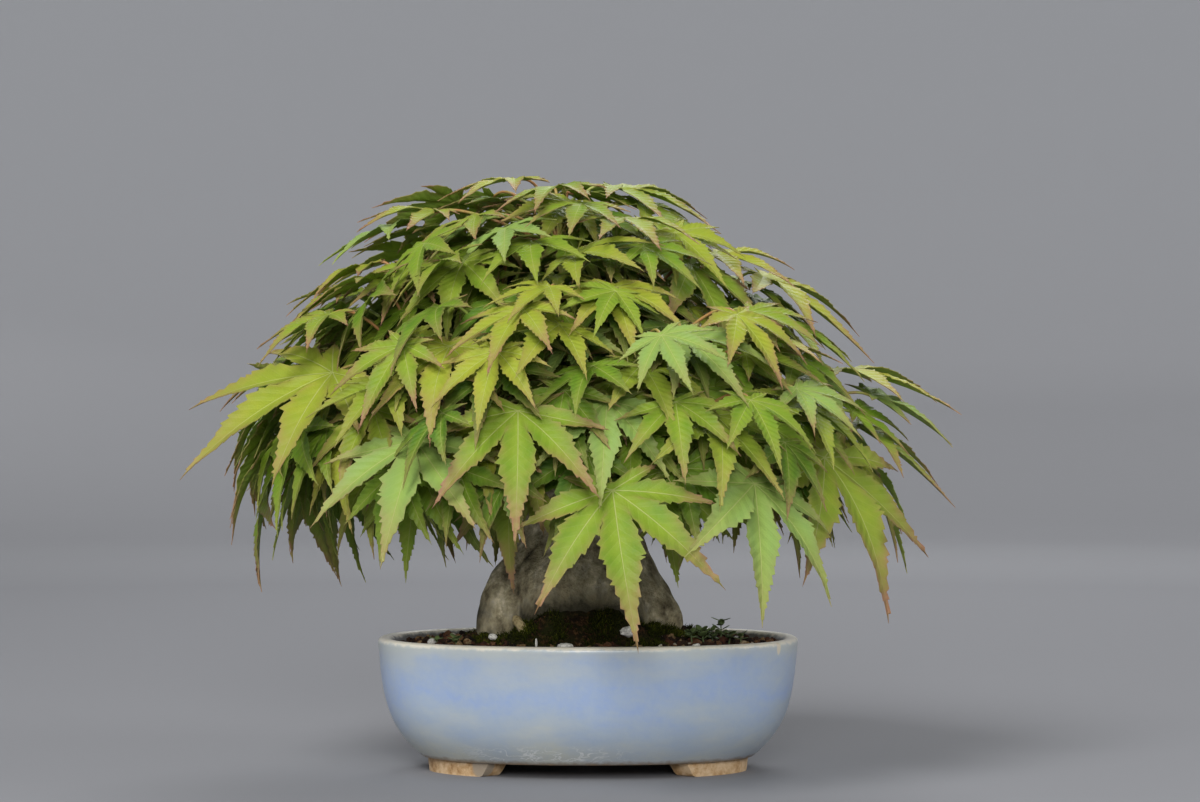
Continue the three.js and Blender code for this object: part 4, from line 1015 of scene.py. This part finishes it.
def turned(v, axis, angle):
    c, s = math.cos(angle), math.sin(angle)
    return v * c + np.cross(axis, v) * s + axis * np.dot(axis, v) * (1 - c)


# %% Where each leaf hangs: the rule and its attempts
def dome_normal(height, turn):
    c, s = math.cos(turn), math.sin(turn)
    across = max(0.02, 1 - max(height, 0) ** DOME.roundness) ** (1 / DOME.roundness)
    half_width = DOME.right if c > 0 else DOME.left
    half_depth = DOME.back if s > 0 else DOME.front
    flat = unit(np.array([c / half_width, s / half_depth, 0]))
    flat *= across ** (DOME.roundness - 1) / DOME.left
    flat[2] = (max(height, 0) ** (DOME.roundness - 1) - flat[0] * DOME.lean) / DOME.rise
    return unit(flat)


def off_axis(p):
    """How far a point lies from the dome's leaning axis, as shares of the half widths there."""
    x = p[0] - DOME.lean * (p[2] - DOME.base) / DOME.rise
    return x / (DOME.right if x > 0 else DOME.left), p[1] / (DOME.back if p[1] > 0 else DOME.front)


def skin_normal(p):
    x, y = off_axis(p)
    return dome_normal(min((p[2] - DOME.base) / DOME.rise, 1), math.atan2(y, x))


def place_of(junction, along, facing, size):
    d = unit(along)
    n = unit(facing - np.dot(facing, d) * d)
    return SimpleNamespace(junction=junction, d=d, n=n, s=np.cross(n, d), size=size)


def seen_place(index):
    """A leaf of the front: its junction is where the line of sight meets the dome."""
    x, z, tip_x, tip_z, length = SEEN_LEAVES[index]
    aim, tip_aim = np.array([x, 0, z]), np.array([tip_x, 0, tip_z])
    share, k = 1.0, 0.86
    while k <= 1:
        share = k
        p = EYE * (1 - k) + aim * k
        k += 0.001
        height = (p[2] - DOME.base) / DOME.rise
        if height >= 1:
            continue
        if math.hypot(*off_axis(p)) <= dome_across(height):
            break
    junction = EYE * (1 - share) + aim * share
    along = EYE * (1 - share) + tip_aim * share - junction
    along[1] -= math.sqrt(max(length ** 2 - np.dot(along, along), 16))
    made = place_of(junction, along, skin_normal(junction) + FACING_BIAS, length)
    made.d = turned(made.d, made.s, -math.asin(DROOP))
    return made, np.array([0.0, -1, 0])


def rule_place(leaf, layer_count, layer_depth, index):
    """A leaf of the golden-angle spiral, lapped over the leaves below it like a tile."""
    down = (index + 0.5) / layer_count
    turn = index * GOLDEN_ANGLE
    height = 1 - LAP.reach * down ** LAP.crowding + spread(leaf, 1, LAP.height_spread)
    junction = dome_point(height, turn, layer_depth + spread(leaf, 2, LAP.depth_spread))
    outward = dome_normal(height, turn)
    downhill = unit(np.array([outward[0] * outward[2], outward[1] * outward[2], outward[2] ** 2 - 1]))
    downhill = turned(downhill, outward, math.radians(spread(leaf, 3, LAP.heading)))
    lean = (LAP.lean + spread(leaf, 4, LAP.lean_spread)) * min(1, LAP.crown_lean + LAP.lean_gain * down)
    along = downhill * math.cos(math.radians(lean)) + outward * math.sin(math.radians(lean))
    size = (LAP.crown_size * (1 - down) + LAP.rim_size * down) * (1 + spread(leaf, 5, LAP.size_spread))
    made = place_of(junction, along, outward, size)
    made.n = turned(made.n, made.d, math.radians(LAP.roll + spread(leaf, 6, LAP.roll_spread)))
    return made, outward


def attempted(start, outward, leaf, attempt):
    """Each further attempt lifts or sinks a leaf and turns it a little more."""
    junction, d, n, s, size = start.junction, start.d, start.n, start.s, start.size
    if attempt:
        reach = math.ceil(attempt / 2)
        size = size * (1 - ATTEMPT.shrink * attempt)
        junction = junction + outward * (1 if attempt % 2 else -1) * ATTEMPT.step * reach
        sways = [math.radians(spread(leaf, use + attempt, ATTEMPT.sway + ATTEMPT.sway_gain * reach))
                 for use in (20, 60, 100)]
        d = turned(turned(d, s, sways[0]), n, sways[1])
        n = turned(n, d, sways[2])
    n = unit(n - np.dot(n, d) * d)
    return SimpleNamespace(junction=junction, d=d, n=n, s=np.cross(n, d), size=size, leaf=leaf)


# %% Where each leaf hangs: match with the CAD sprays
LOBES = [  # angle in degrees, length as a share of the middle lobe, half width, where widest, teeth each side
    (-118, 0.34, 0.046, 0.50, 5), (-76, 0.62, 0.080, 0.46, 8), (-39, 0.88, 0.108, 0.45, 11),
    (0, 1.0, 0.124, 0.44, 13), (39, 0.88, 0.108, 0.45, 11), (76, 0.62, 0.080, 0.46, 8),
    (118, 0.34, 0.046, 0.50, 5),
]
TIP_MATCH = 0.05  # millimetres
TIPS_NEEDED = 5


def corner_tree(node_name):
    corners = frame["nodes"][node_name].data.vertices
    found = kdtree.KDTree(len(corners))
    for i, v in enumerate(corners):
        found.insert(v.co, i)
    found.balance()
    return found


corners_of = {shoot.name: corner_tree("spray_" + shoot.name) for shoot in shoots}
tip_plane = np.array([[length * math.cos(math.radians(angle)), length * math.sin(math.radians(angle)),
                       -DROOP * length ** 2] for angle, length, *_ in LOBES])


def tips_of(leaf_place):
    frame_rows = np.array([leaf_place.d, leaf_place.s, leaf_place.n])
    return leaf_place.junction + leaf_place.size * tip_plane @ frame_rows


def hangs_here(leaf_place):
    tree_of = corners_of[leaf_place.shoot.name]
    hits = [tree_of.find((tip + POT_CENTRE) * MM)[2] < TIP_MATCH * MM for tip in tips_of(leaf_place)]
    return sum(hits) >= TIPS_NEEDED


offers = [("seen", None, i) for i in range(len(SEEN_LEAVES))]
offers += [(depth, count, i) for count, depth in LAYERS for i in range(count)]
leaves = []
for leaf, (depth, count, index) in enumerate(offers):
    start, outward = seen_place(index) if depth == "seen" else rule_place(leaf, count, depth, index)
    for attempt in range(ATTEMPT.most):
        tried = attempted(start, outward, leaf, attempt)
        tried.shoot = min(shoots, key=lambda s: np.linalg.norm(s.hub - tried.junction))
        if hangs_here(tried):
            tried.layer = depth
            leaves.append(tried)
            break
print("leaves matched:", len(leaves), "of", len(offers), "offered")

# %% [markdown]
# A maple leaf has seven lobes that taper to long points, and forward teeth along each margin. Its blade is
# only a fraction of a millimetre thick. One flat pattern is drawn in code: each lobe is a row of short
# strips from its rib to its toothed margin, and the margins of two neighbours meet in the notch between
# them. The pattern then bends: it droops towards the tips and folds up a little on both sides of each rib.
# Eight patterns keep leaves from looking stamped.

# %% Leaf pattern
BLADE = SimpleNamespace(
    sinus=0.21, heel=0.05, heel_width=0.02, fold=0.36, arch=0.022, sway=0.016, wilt=0.035, ripple=0.006,
    half_thickness=0.13,
)
TOOTH = SimpleNamespace(
    depth=0.023, forward=0.85, notch=0.93, jitter=0.75, spread=0.34, crowd=0.88,
    smooth=0.2, full=0.45, shrink=0.6,
)


def lobe_width(t, t_sinus, sinus_width, t_wide, width):
    """Half width of a lobe: from the notch it swells to its widest, then narrows into a long point."""
    if t < t_wide:
        rise = max(0.0, (t - t_sinus) / max(t_wide - t_sinus, 1e-6))
        return sinus_width + (width - sinus_width) * math.sin(rise * math.pi / 2)
    fall = (t - t_wide) / (1 - t_wide)
    return width * (1 - fall ** 1.15) ** 1.4


def leaf_pattern(seed, share=1.0):
    """Points, faces and vertex maps of one leaf, its middle lobe 1 long, with a share of its teeth."""
    dice = np.random.default_rng(seed)
    flat, maps, faces, hang = [], [], [], {}

    def corner(x, y, along, across, tip, margin):
        flat.append((x, y))
        maps.append((along, across, tip, margin))
        return len(flat) - 1

    angles = [math.radians(lobe[0]) for lobe in LOBES]
    centre = corner(0, 0, 0, 0, 0, 0)
    webs = []  # the points from the junction out to each notch, the heel's at both ends
    heel = [(-BLADE.heel, -BLADE.heel_width), (-BLADE.heel, BLADE.heel_width)]
    for i in range(len(LOBES) + 1):
        if 0 < i < len(LOBES):
            turn = (angles[i - 1] + angles[i]) / 2
            reach = BLADE.sinus * (0.4 + 0.3 * (LOBES[i - 1][1] + LOBES[i][1]))
            end = (reach * math.cos(turn), reach * math.sin(turn))
            gap = angles[i] - turn
            measures = (math.hypot(*end) * math.cos(gap), math.hypot(*end) * math.sin(gap))
        else:
            end = heel[0 if i == 0 else 1]
            measures = (0.04, 0.035)
        webs.append([corner(*[f * v for v in (*end, *measures)], 0, f) for f in (0.5, 1)])
    for number, (angle, length, width, t_wide, most_teeth) in enumerate(LOBES):
        turn = angles[number]
        teeth = math.ceil(share * most_teeth)
        c, s = math.cos(turn), math.sin(turn)
        sway = dice.uniform(-BLADE.sway, BLADE.sway)  # lobes curve a little to one side
        wilt = dice.uniform(-1, 1) * BLADE.wilt  # and sag a little more or less than their neighbours

        def on_lobe(t, across, side, margin):
            x, y = t * length, side * across + sway * math.sin(math.pi * t) * length
            hang[len(flat)] = 4 * wilt * length * t * (1 - t)
            return corner(x * c - y * s, x * s + y * c, x, across, max(0.0, (t - 0.5) / 0.5), margin)

        ends = []  # how far out along the rib, and how far from it, each side's notch lies
        for web in (webs[number], webs[number + 1]):
            x, y = flat[web[1]]
            ends.append((x * c + y * s, abs(y * c - x * s)))
        t_sinus = [max(e[0], 0.02) / length for e in ends]
        t_first = max(t_sinus)
        rows = [t_first * 0.5, t_first]
        for k in range(1, teeth):
            row = (k + dice.uniform(-TOOTH.spread, TOOTH.spread)) / teeth
            rows.append(t_first + (1 - t_first) * row ** TOOTH.crowd)
        rib = [centre] + [on_lobe(t, 0, 1, 0) for t in rows] + [on_lobe(1, 0, 1, 1)]
        for side, web in ((-1, webs[number]), (1, webs[number + 1])):
            sinus_t, sinus_width = t_sinus[side > 0], ends[side > 0][1]
            edge, middle, tips = {1: web[0], 2: web[1]}, {}, {}
            for k, t in enumerate(rows, start=1):
                full = lobe_width(t, sinus_t, sinus_width, t_wide, width)
                if k > 2:
                    edge[k] = on_lobe(t, full * TOOTH.notch, side, 1)
                x, y = flat[edge[k]]
                u, v = x * c + y * s, abs(y * c - x * s)
                middle[k] = on_lobe(0.5 * (t + u / length), 0.5 * v, side, 0.5)
            for k in range(2, len(rows)):
                t0, t1 = rows[k - 1], rows[k]
                t = t0 + (t1 - t0) * (TOOTH.forward + dice.uniform(-1, 1) * TOOTH.jitter * 0.5)
                swell = TOOTH.depth * length ** 0.5 * (1 + TOOTH.jitter * dice.uniform(-1, 1))
                fade = np.clip((t - TOOTH.smooth) / (TOOTH.full - TOOTH.smooth), 0.25, 1)
                swell *= (1 - TOOTH.shrink * t) * fade
                full = lobe_width(t, sinus_t, sinus_width, t_wide, width)
                tips[k] = on_lobe(t, full + swell, side, 1)

            def face(*corners_in_order):
                faces.append(corners_in_order if side > 0 else corners_in_order[::-1])

            face(centre, rib[1], middle[1])
            face(centre, middle[1], edge[1])
            last = len(rows)
            for k in range(1, last):
                face(rib[k], rib[k + 1], middle[k + 1])
                face(rib[k], middle[k + 1], middle[k])
                if k == 1:
                    face(middle[k], middle[k + 1], edge[k + 1])
                    face(middle[k], edge[k + 1], edge[k])
                else:
                    face(middle[k], tips[k], edge[k])
                    face(middle[k], middle[k + 1], tips[k])
                    face(middle[k + 1], edge[k + 1], tips[k])
            face(rib[last], rib[last + 1], middle[last])
            face(middle[last], rib[last + 1], edge[last])
    faces.append((centre, webs[-1][0], webs[0][0]))
    faces.append((webs[0][0], webs[-1][0], webs[-1][1]))
    faces.append((webs[0][0], webs[-1][1], webs[0][1]))
    flat, maps = np.array(flat), np.array(maps)
    share = np.hypot(flat[:, 0], flat[:, 1])
    bend = BLADE.fold * maps[:, 1] - DROOP * share ** 2 + BLADE.arch * np.sin(math.pi * np.clip(share, 0, 1))
    phases = dice.uniform(0, 6.28, 2)
    ripple = BLADE.ripple * maps[:, 3] * np.sin(26 * share + phases[0]) * np.sin(5 * flat[:, 1] + phases[1])
    for i, drop in hang.items():
        bend[i] += drop
    points = np.column_stack([flat, bend + ripple])
    top = np.array(faces)
    used = {(a, b) for f in faces for a, b in zip(f, f[1:] + f[:1])}
    border = np.array([(a, b) for a, b in used if (b, a) not in used])
    count = len(points)
    a, b = border[:, 0], border[:, 1]
    rim = np.concatenate([np.stack([b, a, a + count], 1), np.stack([b, a + count, b + count], 1)])
    all_faces = np.concatenate([top, top[:, ::-1] + count, rim])
    return SimpleNamespace(points=points, maps=maps, faces=all_faces, count=count)


patterns = [leaf_pattern(seed) for seed in range(8)]
plain_patterns = [leaf_pattern(seed, 0.6) for seed in range(20, 24)]
print("leaf pattern:", patterns[0].count * 2, "corners,", len(patterns[0].faces), "triangles")

# %% [markdown]
# Leaves, stalks and the green shoot of a spray become one piece, with one material each. A leaf high on the
# crown or at the front has had more sun: it is yellower, with rusty tips. Leaves further in get a darker,
# cooler green, which is painted shade, and a few have a pale cool green that partly paints a waxy sheen. These
# per-leaf numbers ride on the corners, and the leaf material reads them.

# %% Parts of a spray
STALK = SimpleNamespace(root=0.5, tip=0.4, rise=2.5, lead=9)


def triangles(faces):
    return [(f[0], f[i], f[i + 1]) for f in faces for i in range(1, len(f) - 1)]


def leaf_mesh(leaf_place):
    own = plain_patterns if leaf_place.layer == "shade" else patterns
    pattern = own[leaf_place.leaf % len(own)]
    axes = np.array([leaf_place.d, leaf_place.s, leaf_place.n])
    middle = leaf_place.junction + leaf_place.size * pattern.points @ axes
    half = BLADE.half_thickness * (1.15 - 0.5 * pattern.maps[:, 3:4]) * leaf_place.n
    return np.concatenate([middle + half, middle - half]), pattern


# The pale, cool green of these leaves partly paints the sheen of a waxy blade.
COOL_LEAVES = [2, 5, 7, 11, 27]  # of the leaves at the front, the ones of a pale, cool green
COOL_SHARE = 0.07  # of the other leaves


def leaf_colours(leaf_place):
    """Tone from cool to sunny, lower deeper in the crown as painted shade, and how rusty the tips are."""
    # Leaves deeper in the crown start at a lower tone, a darker green: painted shade.
    sun_and_painted_shade_tone = {"seen": 0.72, 1.0: 0.66, 0.82: 0.5, "shade": 0.42}[leaf_place.layer]
    tone = np.clip(sun_and_painted_shade_tone + spread(leaf_place.leaf, 201, 0.28), 0.2, 1)
    front = leaf_place.leaf < len(SEEN_LEAVES)
    # The pale cool green: leaf colour, partly a painted sheen.
    if leaf_place.leaf in COOL_LEAVES or (not front and draw(leaf_place.leaf, 204) < COOL_SHARE):
        tone = 0.04
    rust = np.clip(1.7 * draw(leaf_place.leaf, 202) * max(tone, 0.35) + 0.2, 0, 1)
    return tone, rust


def stalk_path(leaf_place):
    heel = leaf_place.junction - BLADE.heel * leaf_place.size * leaf_place.d
    inward = unit(-leaf_place.junction * [1, 1, 0])
    bend = heel + 0.5 * STALK.lead * (inward - leaf_place.d) + [0, 0, STALK.rise]
    path = bezier(leaf_place.shoot.hub, bend, heel, 12)
    under = leaf_place.junction - 0.35 * leaf_place.n
    return np.concatenate([path, [under]])


def shoot_meshes(shoot):
    along = unit(shoot.hub - shoot.foot)
    start = shoot.foot + GAP * along
    path = np.linspace(0, 1, 9)[:, None] * (shoot.hub - start) + start
    rings = 1 + 0.12 * np.sin(np.linspace(0, 3 * math.pi, 9)) ** 2
    parts = [tube(path, np.linspace(SHOOT.radius, SHOOT.tip, 9) * rings * 0.97, 12)]
    for tilt in range(4):  # four scales make the bud
        side = unit(np.cross(along, [math.cos(1.57 * tilt), math.sin(1.57 * tilt), 0.4]))
        tip = shoot.hub + 1.05 * side + along * (2.6 - 0.4 * tilt)
        path = bezier(shoot.hub - along, shoot.hub + 1.7 * side, tip, 7)
        parts.append(tube(path, [0.5, 1.0, 1.25, 1.25, 1.05, 0.75, 0.4, 0.08], 8))
    return parts


def foliage(leaf_places, with_shoots=()):
    """Leaves with their stalks, and any shoots, as the parts of one piece."""
    points, faces, looks, maps, mood, under = [], [], [], [], [], []
    start = 0

    def take(part_points, part_faces, look, part_maps, part_mood, part_under):
        nonlocal start
        points.append(part_points)
        faces.append(np.asarray(part_faces) + start)
        looks.append(np.full(len(part_faces), look))
        maps.append(part_maps)
        mood.append(part_mood)
        under.append(part_under)
        start += len(part_points)

    def take_plain(part, look, tone):
        count = len(part[0])
        along = np.linspace(0, 1, count)
        take(part[0], triangles(part[1]), look, np.column_stack([along, 0 * along, 0 * along]),
             np.tile([tone, 0.5, 0], (count, 1)), np.zeros(count))

    for shoot in with_shoots:
        for part in shoot_meshes(shoot):
            take_plain(part, 2, 0.5)
    for leaf_place in leaf_places:
        tone, rust = leaf_colours(leaf_place)
        path = stalk_path(leaf_place)
        swell = np.array([1.5, 1.15] + [1] * (len(path) - 3) + [0.7])
        radii = np.linspace(STALK.root, STALK.tip, len(path)) * swell
        take_plain(tube(path, radii, 8), 1, draw(leaf_place.leaf, 203))
        corners, pattern = leaf_mesh(leaf_place)
        both = np.concatenate([pattern.maps, pattern.maps])
        feel = np.column_stack([np.tile([tone, rust], (len(both), 1)), both[:, 3]])
        below = np.repeat([0.0, 1.0], pattern.count)
        take(corners, pattern.faces, 0, both[:, :3], feel, below)
    joined_maps = {"leaf_map": np.concatenate(maps), "leaf_mood": np.concatenate(mood),
                   "underside": np.concatenate(under)}
    return np.concatenate(points), np.concatenate(faces).tolist(), np.concatenate(looks), joined_maps


# %% [markdown]
# Behind each gap between the outer leaves a real crown has another leaf, in the shade. More turns of the
# same spiral, deeper in the dome, offer places for them. A plain outline of each leaf stands in while the
# places are tested: one is kept only if it crosses no other leaf, shoot or branch.

# %% Shade leaves
SHADE_LAYERS = [(330, 1.0), (260, 0.92), (240, 0.83), (160, 0.72), (100, 0.6)]  # places offered, and depth
SHADE = SimpleNamespace(first_leaf=1000, attempts=9, step=1.1, sway=16, size_low=22, size_high=31, lean=-4,
                        closest=5, inside=2, rim=94, rim_skip=0.6)


def outline_mesh(leaf_place):
    """The blade as kites from junction to tip."""
    rows = np.array([leaf_place.d, leaf_place.s, leaf_place.n])
    flat = [(0, 0)]
    for angle, length, width, t_wide, _ in LOBES:
        for along, across in ((BLADE.sinus * length, -width / 2), (t_wide * length, -width), (length, 0),
                              (t_wide * length, width), (BLADE.sinus * length, width / 2)):
            turn = math.radians(angle)
            flat.append((along * math.cos(turn) - across * math.sin(turn),
                         along * math.sin(turn) + across * math.cos(turn)))
    flat = np.array(flat)
    sag = -DROOP * (flat ** 2).sum(axis=1)
    points = leaf_place.junction + leaf_place.size * np.column_stack([flat, sag]) @ rows
    faces = [(0, 5 * i + k, 5 * i + k + 1) for i in range(len(LOBES)) for k in range(1, 5)]
    return points, faces


def stand_in(points, faces):
    centre = points.mean(axis=0)
    reach = np.linalg.norm(points - centre, axis=1).max()
    return SimpleNamespace(tree=BVHTree.FromPolygons(points.tolist(), faces), centre=centre, reach=reach)


def meets(one, others):
    return any(np.linalg.norm(one.centre - other.centre) < one.reach + other.reach
               and one.tree.overlap(other.tree)
               for other in others)


room_low, room_high = [np.array(corner) / MM - POT_CENTRE for corner in cad_box]


def has_room(points):
    return (points > room_low + SHADE.inside).all() and (points < room_high - SHADE.inside).all()


standing = [stand_in(*outline_mesh(leaf_place)) for leaf_place in leaves]
standing += [stand_in(np.asarray(part[0]), part[1]) for part in limbs + [(trunk_points, trunk_faces)]]
standing += [stand_in(np.asarray(points), faces)
             for shoot in shoots for points, faces in shoot_meshes(shoot)[:1]]
shade_leaves = []
leaf = SHADE.first_leaf
for count, depth in SHADE_LAYERS:
    for index in range(count):
        leaf += 1
        start, outward = rule_place(leaf, count, depth, index + 0.5)
        if start.junction[2] < SHADE.rim and draw(leaf, 380) < SHADE.rim_skip:
            continue
        for attempt in range(SHADE.attempts):
            reach = math.ceil(attempt / 2) * (1 if attempt % 2 else -1)
            junction = start.junction + SHADE.step * reach * outward
            near = [p for p in leaves + shade_leaves if np.linalg.norm(p.junction - junction) < SHADE.closest]
            if near:
                continue
            sways = [math.radians(spread(leaf, use + attempt, SHADE.sway)) for use in (300, 320, 340)]
            d = turned(turned(start.d, start.s, sways[0] + math.radians(SHADE.lean)), start.n, 2 * sways[1])
            n = turned(start.n, d, sways[2])
            n = unit(n - np.dot(n, d) * d)
            size = SHADE.size_low + (SHADE.size_high - SHADE.size_low) * draw(leaf, 360)
            tried = SimpleNamespace(junction=junction, d=d, n=n, s=np.cross(n, d), size=size, leaf=leaf,
                                    layer="shade")
            tried.shoot = min(shoots, key=lambda s: np.linalg.norm(s.hub - junction))
            outline = outline_mesh(tried)
            if not has_room(outline[0]):
                continue
            body_of_leaf = stand_in(*outline)
            if not meets(body_of_leaf, standing):
                shade_leaves.append(tried)
                standing.append(body_of_leaf)
                break
print("shade leaves:", len(shade_leaves), "of", sum(count for count, _ in SHADE_LAYERS), "offered")

# %% [markdown]
# A young maple blade is thin and slightly waxy. Light passes through it, so a share of the shader is
# translucent. The ribs are pale, side veins leave each rib towards the teeth about every 3 mm, and the rust
# sits on tips and margins.

# %% Leaf blade: green, veins and ribs
blade, tree = new_material("translucent_maple_blade")
place = add(tree, "TexCoord", out="Object")
leaf_map = add(tree, "Attribute", out="Vector", attribute_name="leaf_map")
along, across, tipness = add(tree, "SeparateXYZ", [leaf_map]).node.outputs
leaf_mood = add(tree, "Attribute", out="Vector", attribute_name="leaf_mood")
tone, rust, margin = add(tree, "SeparateXYZ", [leaf_mood]).node.outputs
below = add(tree, "Attribute", out="Fac", attribute_name="underside")
blotch = add(tree, "TexNoise", {"Vector": place, "Scale": 160, "Detail": 4, "Roughness": 0.6})
fine = add(tree, "TexNoise", {"Vector": place, "Scale": 1600, "Detail": 3})
shift = add(tree, "MapRange", [blotch, 0.3, 0.7, -0.08, 0.12])
moved = add(tree, "Math", [tone, 0.2], operation="GREATER_THAN")
shift = add(tree, "Math", [shift, moved], operation="MULTIPLY")
mixed_tone = add(tree, "Math", [tone, shift], use_clamp=True)
# Tones near 0.2 are the dark green of leaves deep in the crown, painted shade; tone 0 is the pale cool green,
# partly a painted sheen.
colour = add(tree, "ValToRGB", [mixed_tone], stops=[
    (0.0, "#9ab866"), (1.0, "#abb236"), (0.1, "#88a94c"), (0.2, "#4b761e"), (0.45, "#739826"),
    (0.7, "#8fa430")])
paler = add(tree, "Math", [below, 0.6], operation="MULTIPLY")
rib_edge = add(tree, "MapRange", [along, 0.0, 0.9, 0.0055, 0.0022])
rib = add(tree, "Math", [across, rib_edge], operation="DIVIDE")
rib = add(tree, "MapRange", [rib, 1.0, 0.4, 0.0, 1.0])
slant = add(tree, "Math", [across, 1.15], operation="MULTIPLY")
slant = add(tree, "Math", [along, slant], operation="SUBTRACT")
for operation, amount in [("MULTIPLY", 12.5), ("FRACT", 0), ("SUBTRACT", 0.5), ("ABSOLUTE", 0)]:
    slant = add(tree, "Math", [slant, amount], operation=operation)
vein = add(tree, "MapRange", [slant, 0.075, 0.0, 0.0, 1.0])
pucker = add(tree, "MapRange", [slant, 0.0, 0.5, 0.0, 1.0])
sunny = add(tree, "MapRange", [across, 0.07, 0.0, 0.0, 0.32])
pale = add(tree, "Math", [vein, 0.17], operation="MULTIPLY")
pale = add(tree, "Math", [pale, rib], operation="MAXIMUM")
pale = add(tree, "Math", [pale, 0.5], operation="MULTIPLY")

# %% Leaf blade: rust and shader
worn = add(tree, "Math", [margin, 4.0], operation="POWER")
worn = add(tree, "Math", [worn, 0.45], operation="MULTIPLY")
tip = add(tree, "Math", [tipness, 0.9], operation="POWER")
worn = add(tree, "Math", [worn, tip])
worn = add(tree, "Math", [worn, rust], operation="MULTIPLY")
ragged = add(tree, "MapRange", [blotch, 0.35, 0.65, 0.55, 1.2])
worn = add(tree, "Math", [worn, ragged], operation="MULTIPLY", use_clamp=True)
for layer, tint in [(paler, "#9dbb5c"), (sunny, "#adbd46"), (pale, "#cfd08a"), (worn, "#a97f62")]:
    colour = add(tree, "Mix", {0: layer, 6: colour, 7: linear(tint)}, data_type="RGBA")
lit = add(tree, "Mix", {0: 0.5, 6: colour, 7: linear("#9db42a")}, data_type="RGBA")
relief = add(tree, "Math", [pucker, rib], operation="SUBTRACT")
relief = add(tree, "Math", [relief, fine])
bump = add(tree, "Bump", {"Strength": 0.45, "Distance": 0.0003, "Height": relief})
satin = add(tree, "MapRange", [fine, 0.3, 0.7, 0.42, 0.58])
skin = add(tree, "BsdfPrincipled", {
    "Base Color": colour, "Roughness": satin, "IOR": 1.42, "Specular IOR Level": 0.3, "Normal": bump})
glow = add(tree, "BsdfTranslucent", {"Color": lit})
finish_material(tree, add(tree, "MixShader", [0.26, skin, glow]))

# %% Stalks and shoots, and the finished sprays
def stem_material(name, stops, roughness):
    """Green wood: a colour by each stem's own number, broken by noise."""
    material, tree = new_material(name)
    place = add(tree, "TexCoord", out="Object")
    mood = add(tree, "Attribute", out="Vector", attribute_name="leaf_mood")
    own = add(tree, "SeparateXYZ", [mood], out="X")
    patch = add(tree, "TexNoise", {"Vector": place, "Scale": 260, "Detail": 3})
    shift = add(tree, "MapRange", [patch, 0.3, 0.7, -0.3, 0.3])
    own = add(tree, "Math", [own, shift], use_clamp=True)
    colour = add(tree, "ValToRGB", [own], stops=stops)
    bump = add(tree, "Bump", {"Strength": 0.3, "Distance": 0.0002, "Height": patch})
    finish_material(tree, add(tree, "BsdfPrincipled", {
        "Base Color": colour, "Roughness": roughness, "IOR": 1.45, "Normal": bump}))
    return material


stalk_skin = stem_material("waxy_leaf_stalk", [(0.2, "#93a24a"), (0.95, "#a97a4c"), (0.7, "#a0974e")], 0.45)
shoot_skin = stem_material("green_shoot_skin", [(0.2, "#7f7a45"), (0.9, "#8a5236"), (0.6, "#857045")], 0.55)
leaf_finishes = [blade, stalk_skin, shoot_skin]
triangle_count = 0
for shoot in shoots:
    points, faces, looks, maps = foliage([p for p in leaves if p.shoot is shoot], [shoot])
    make_piece("leafy_spray_" + shoot.name, points, faces, leaf_finishes, ["spray_" + shoot.name],
               looks, maps, sharp=50)
    triangle_count += len(faces)
for ring_name in ("low", "mid", "high", "crown"):
    ring_leaves = [p for p in shade_leaves if p.shoot.ring == ring_name]
    points, faces, looks, maps = foliage(ring_leaves)
    make_piece("shade_leaves_" + ring_name, points, faces, leaf_finishes, (), looks, maps, sharp=50)
    triangle_count += len(faces)
    print("shade leaves,", ring_name + ":", len(ring_leaves), "with", len(faces), "triangles")
print("leaf triangles:", triangle_count)

# %% [markdown]
# A last look at size: the CAD box is printed.

# %% Sizes and finish
print("CAD box:", [[round(c, 4) for c in corner] for corner in cad_box])
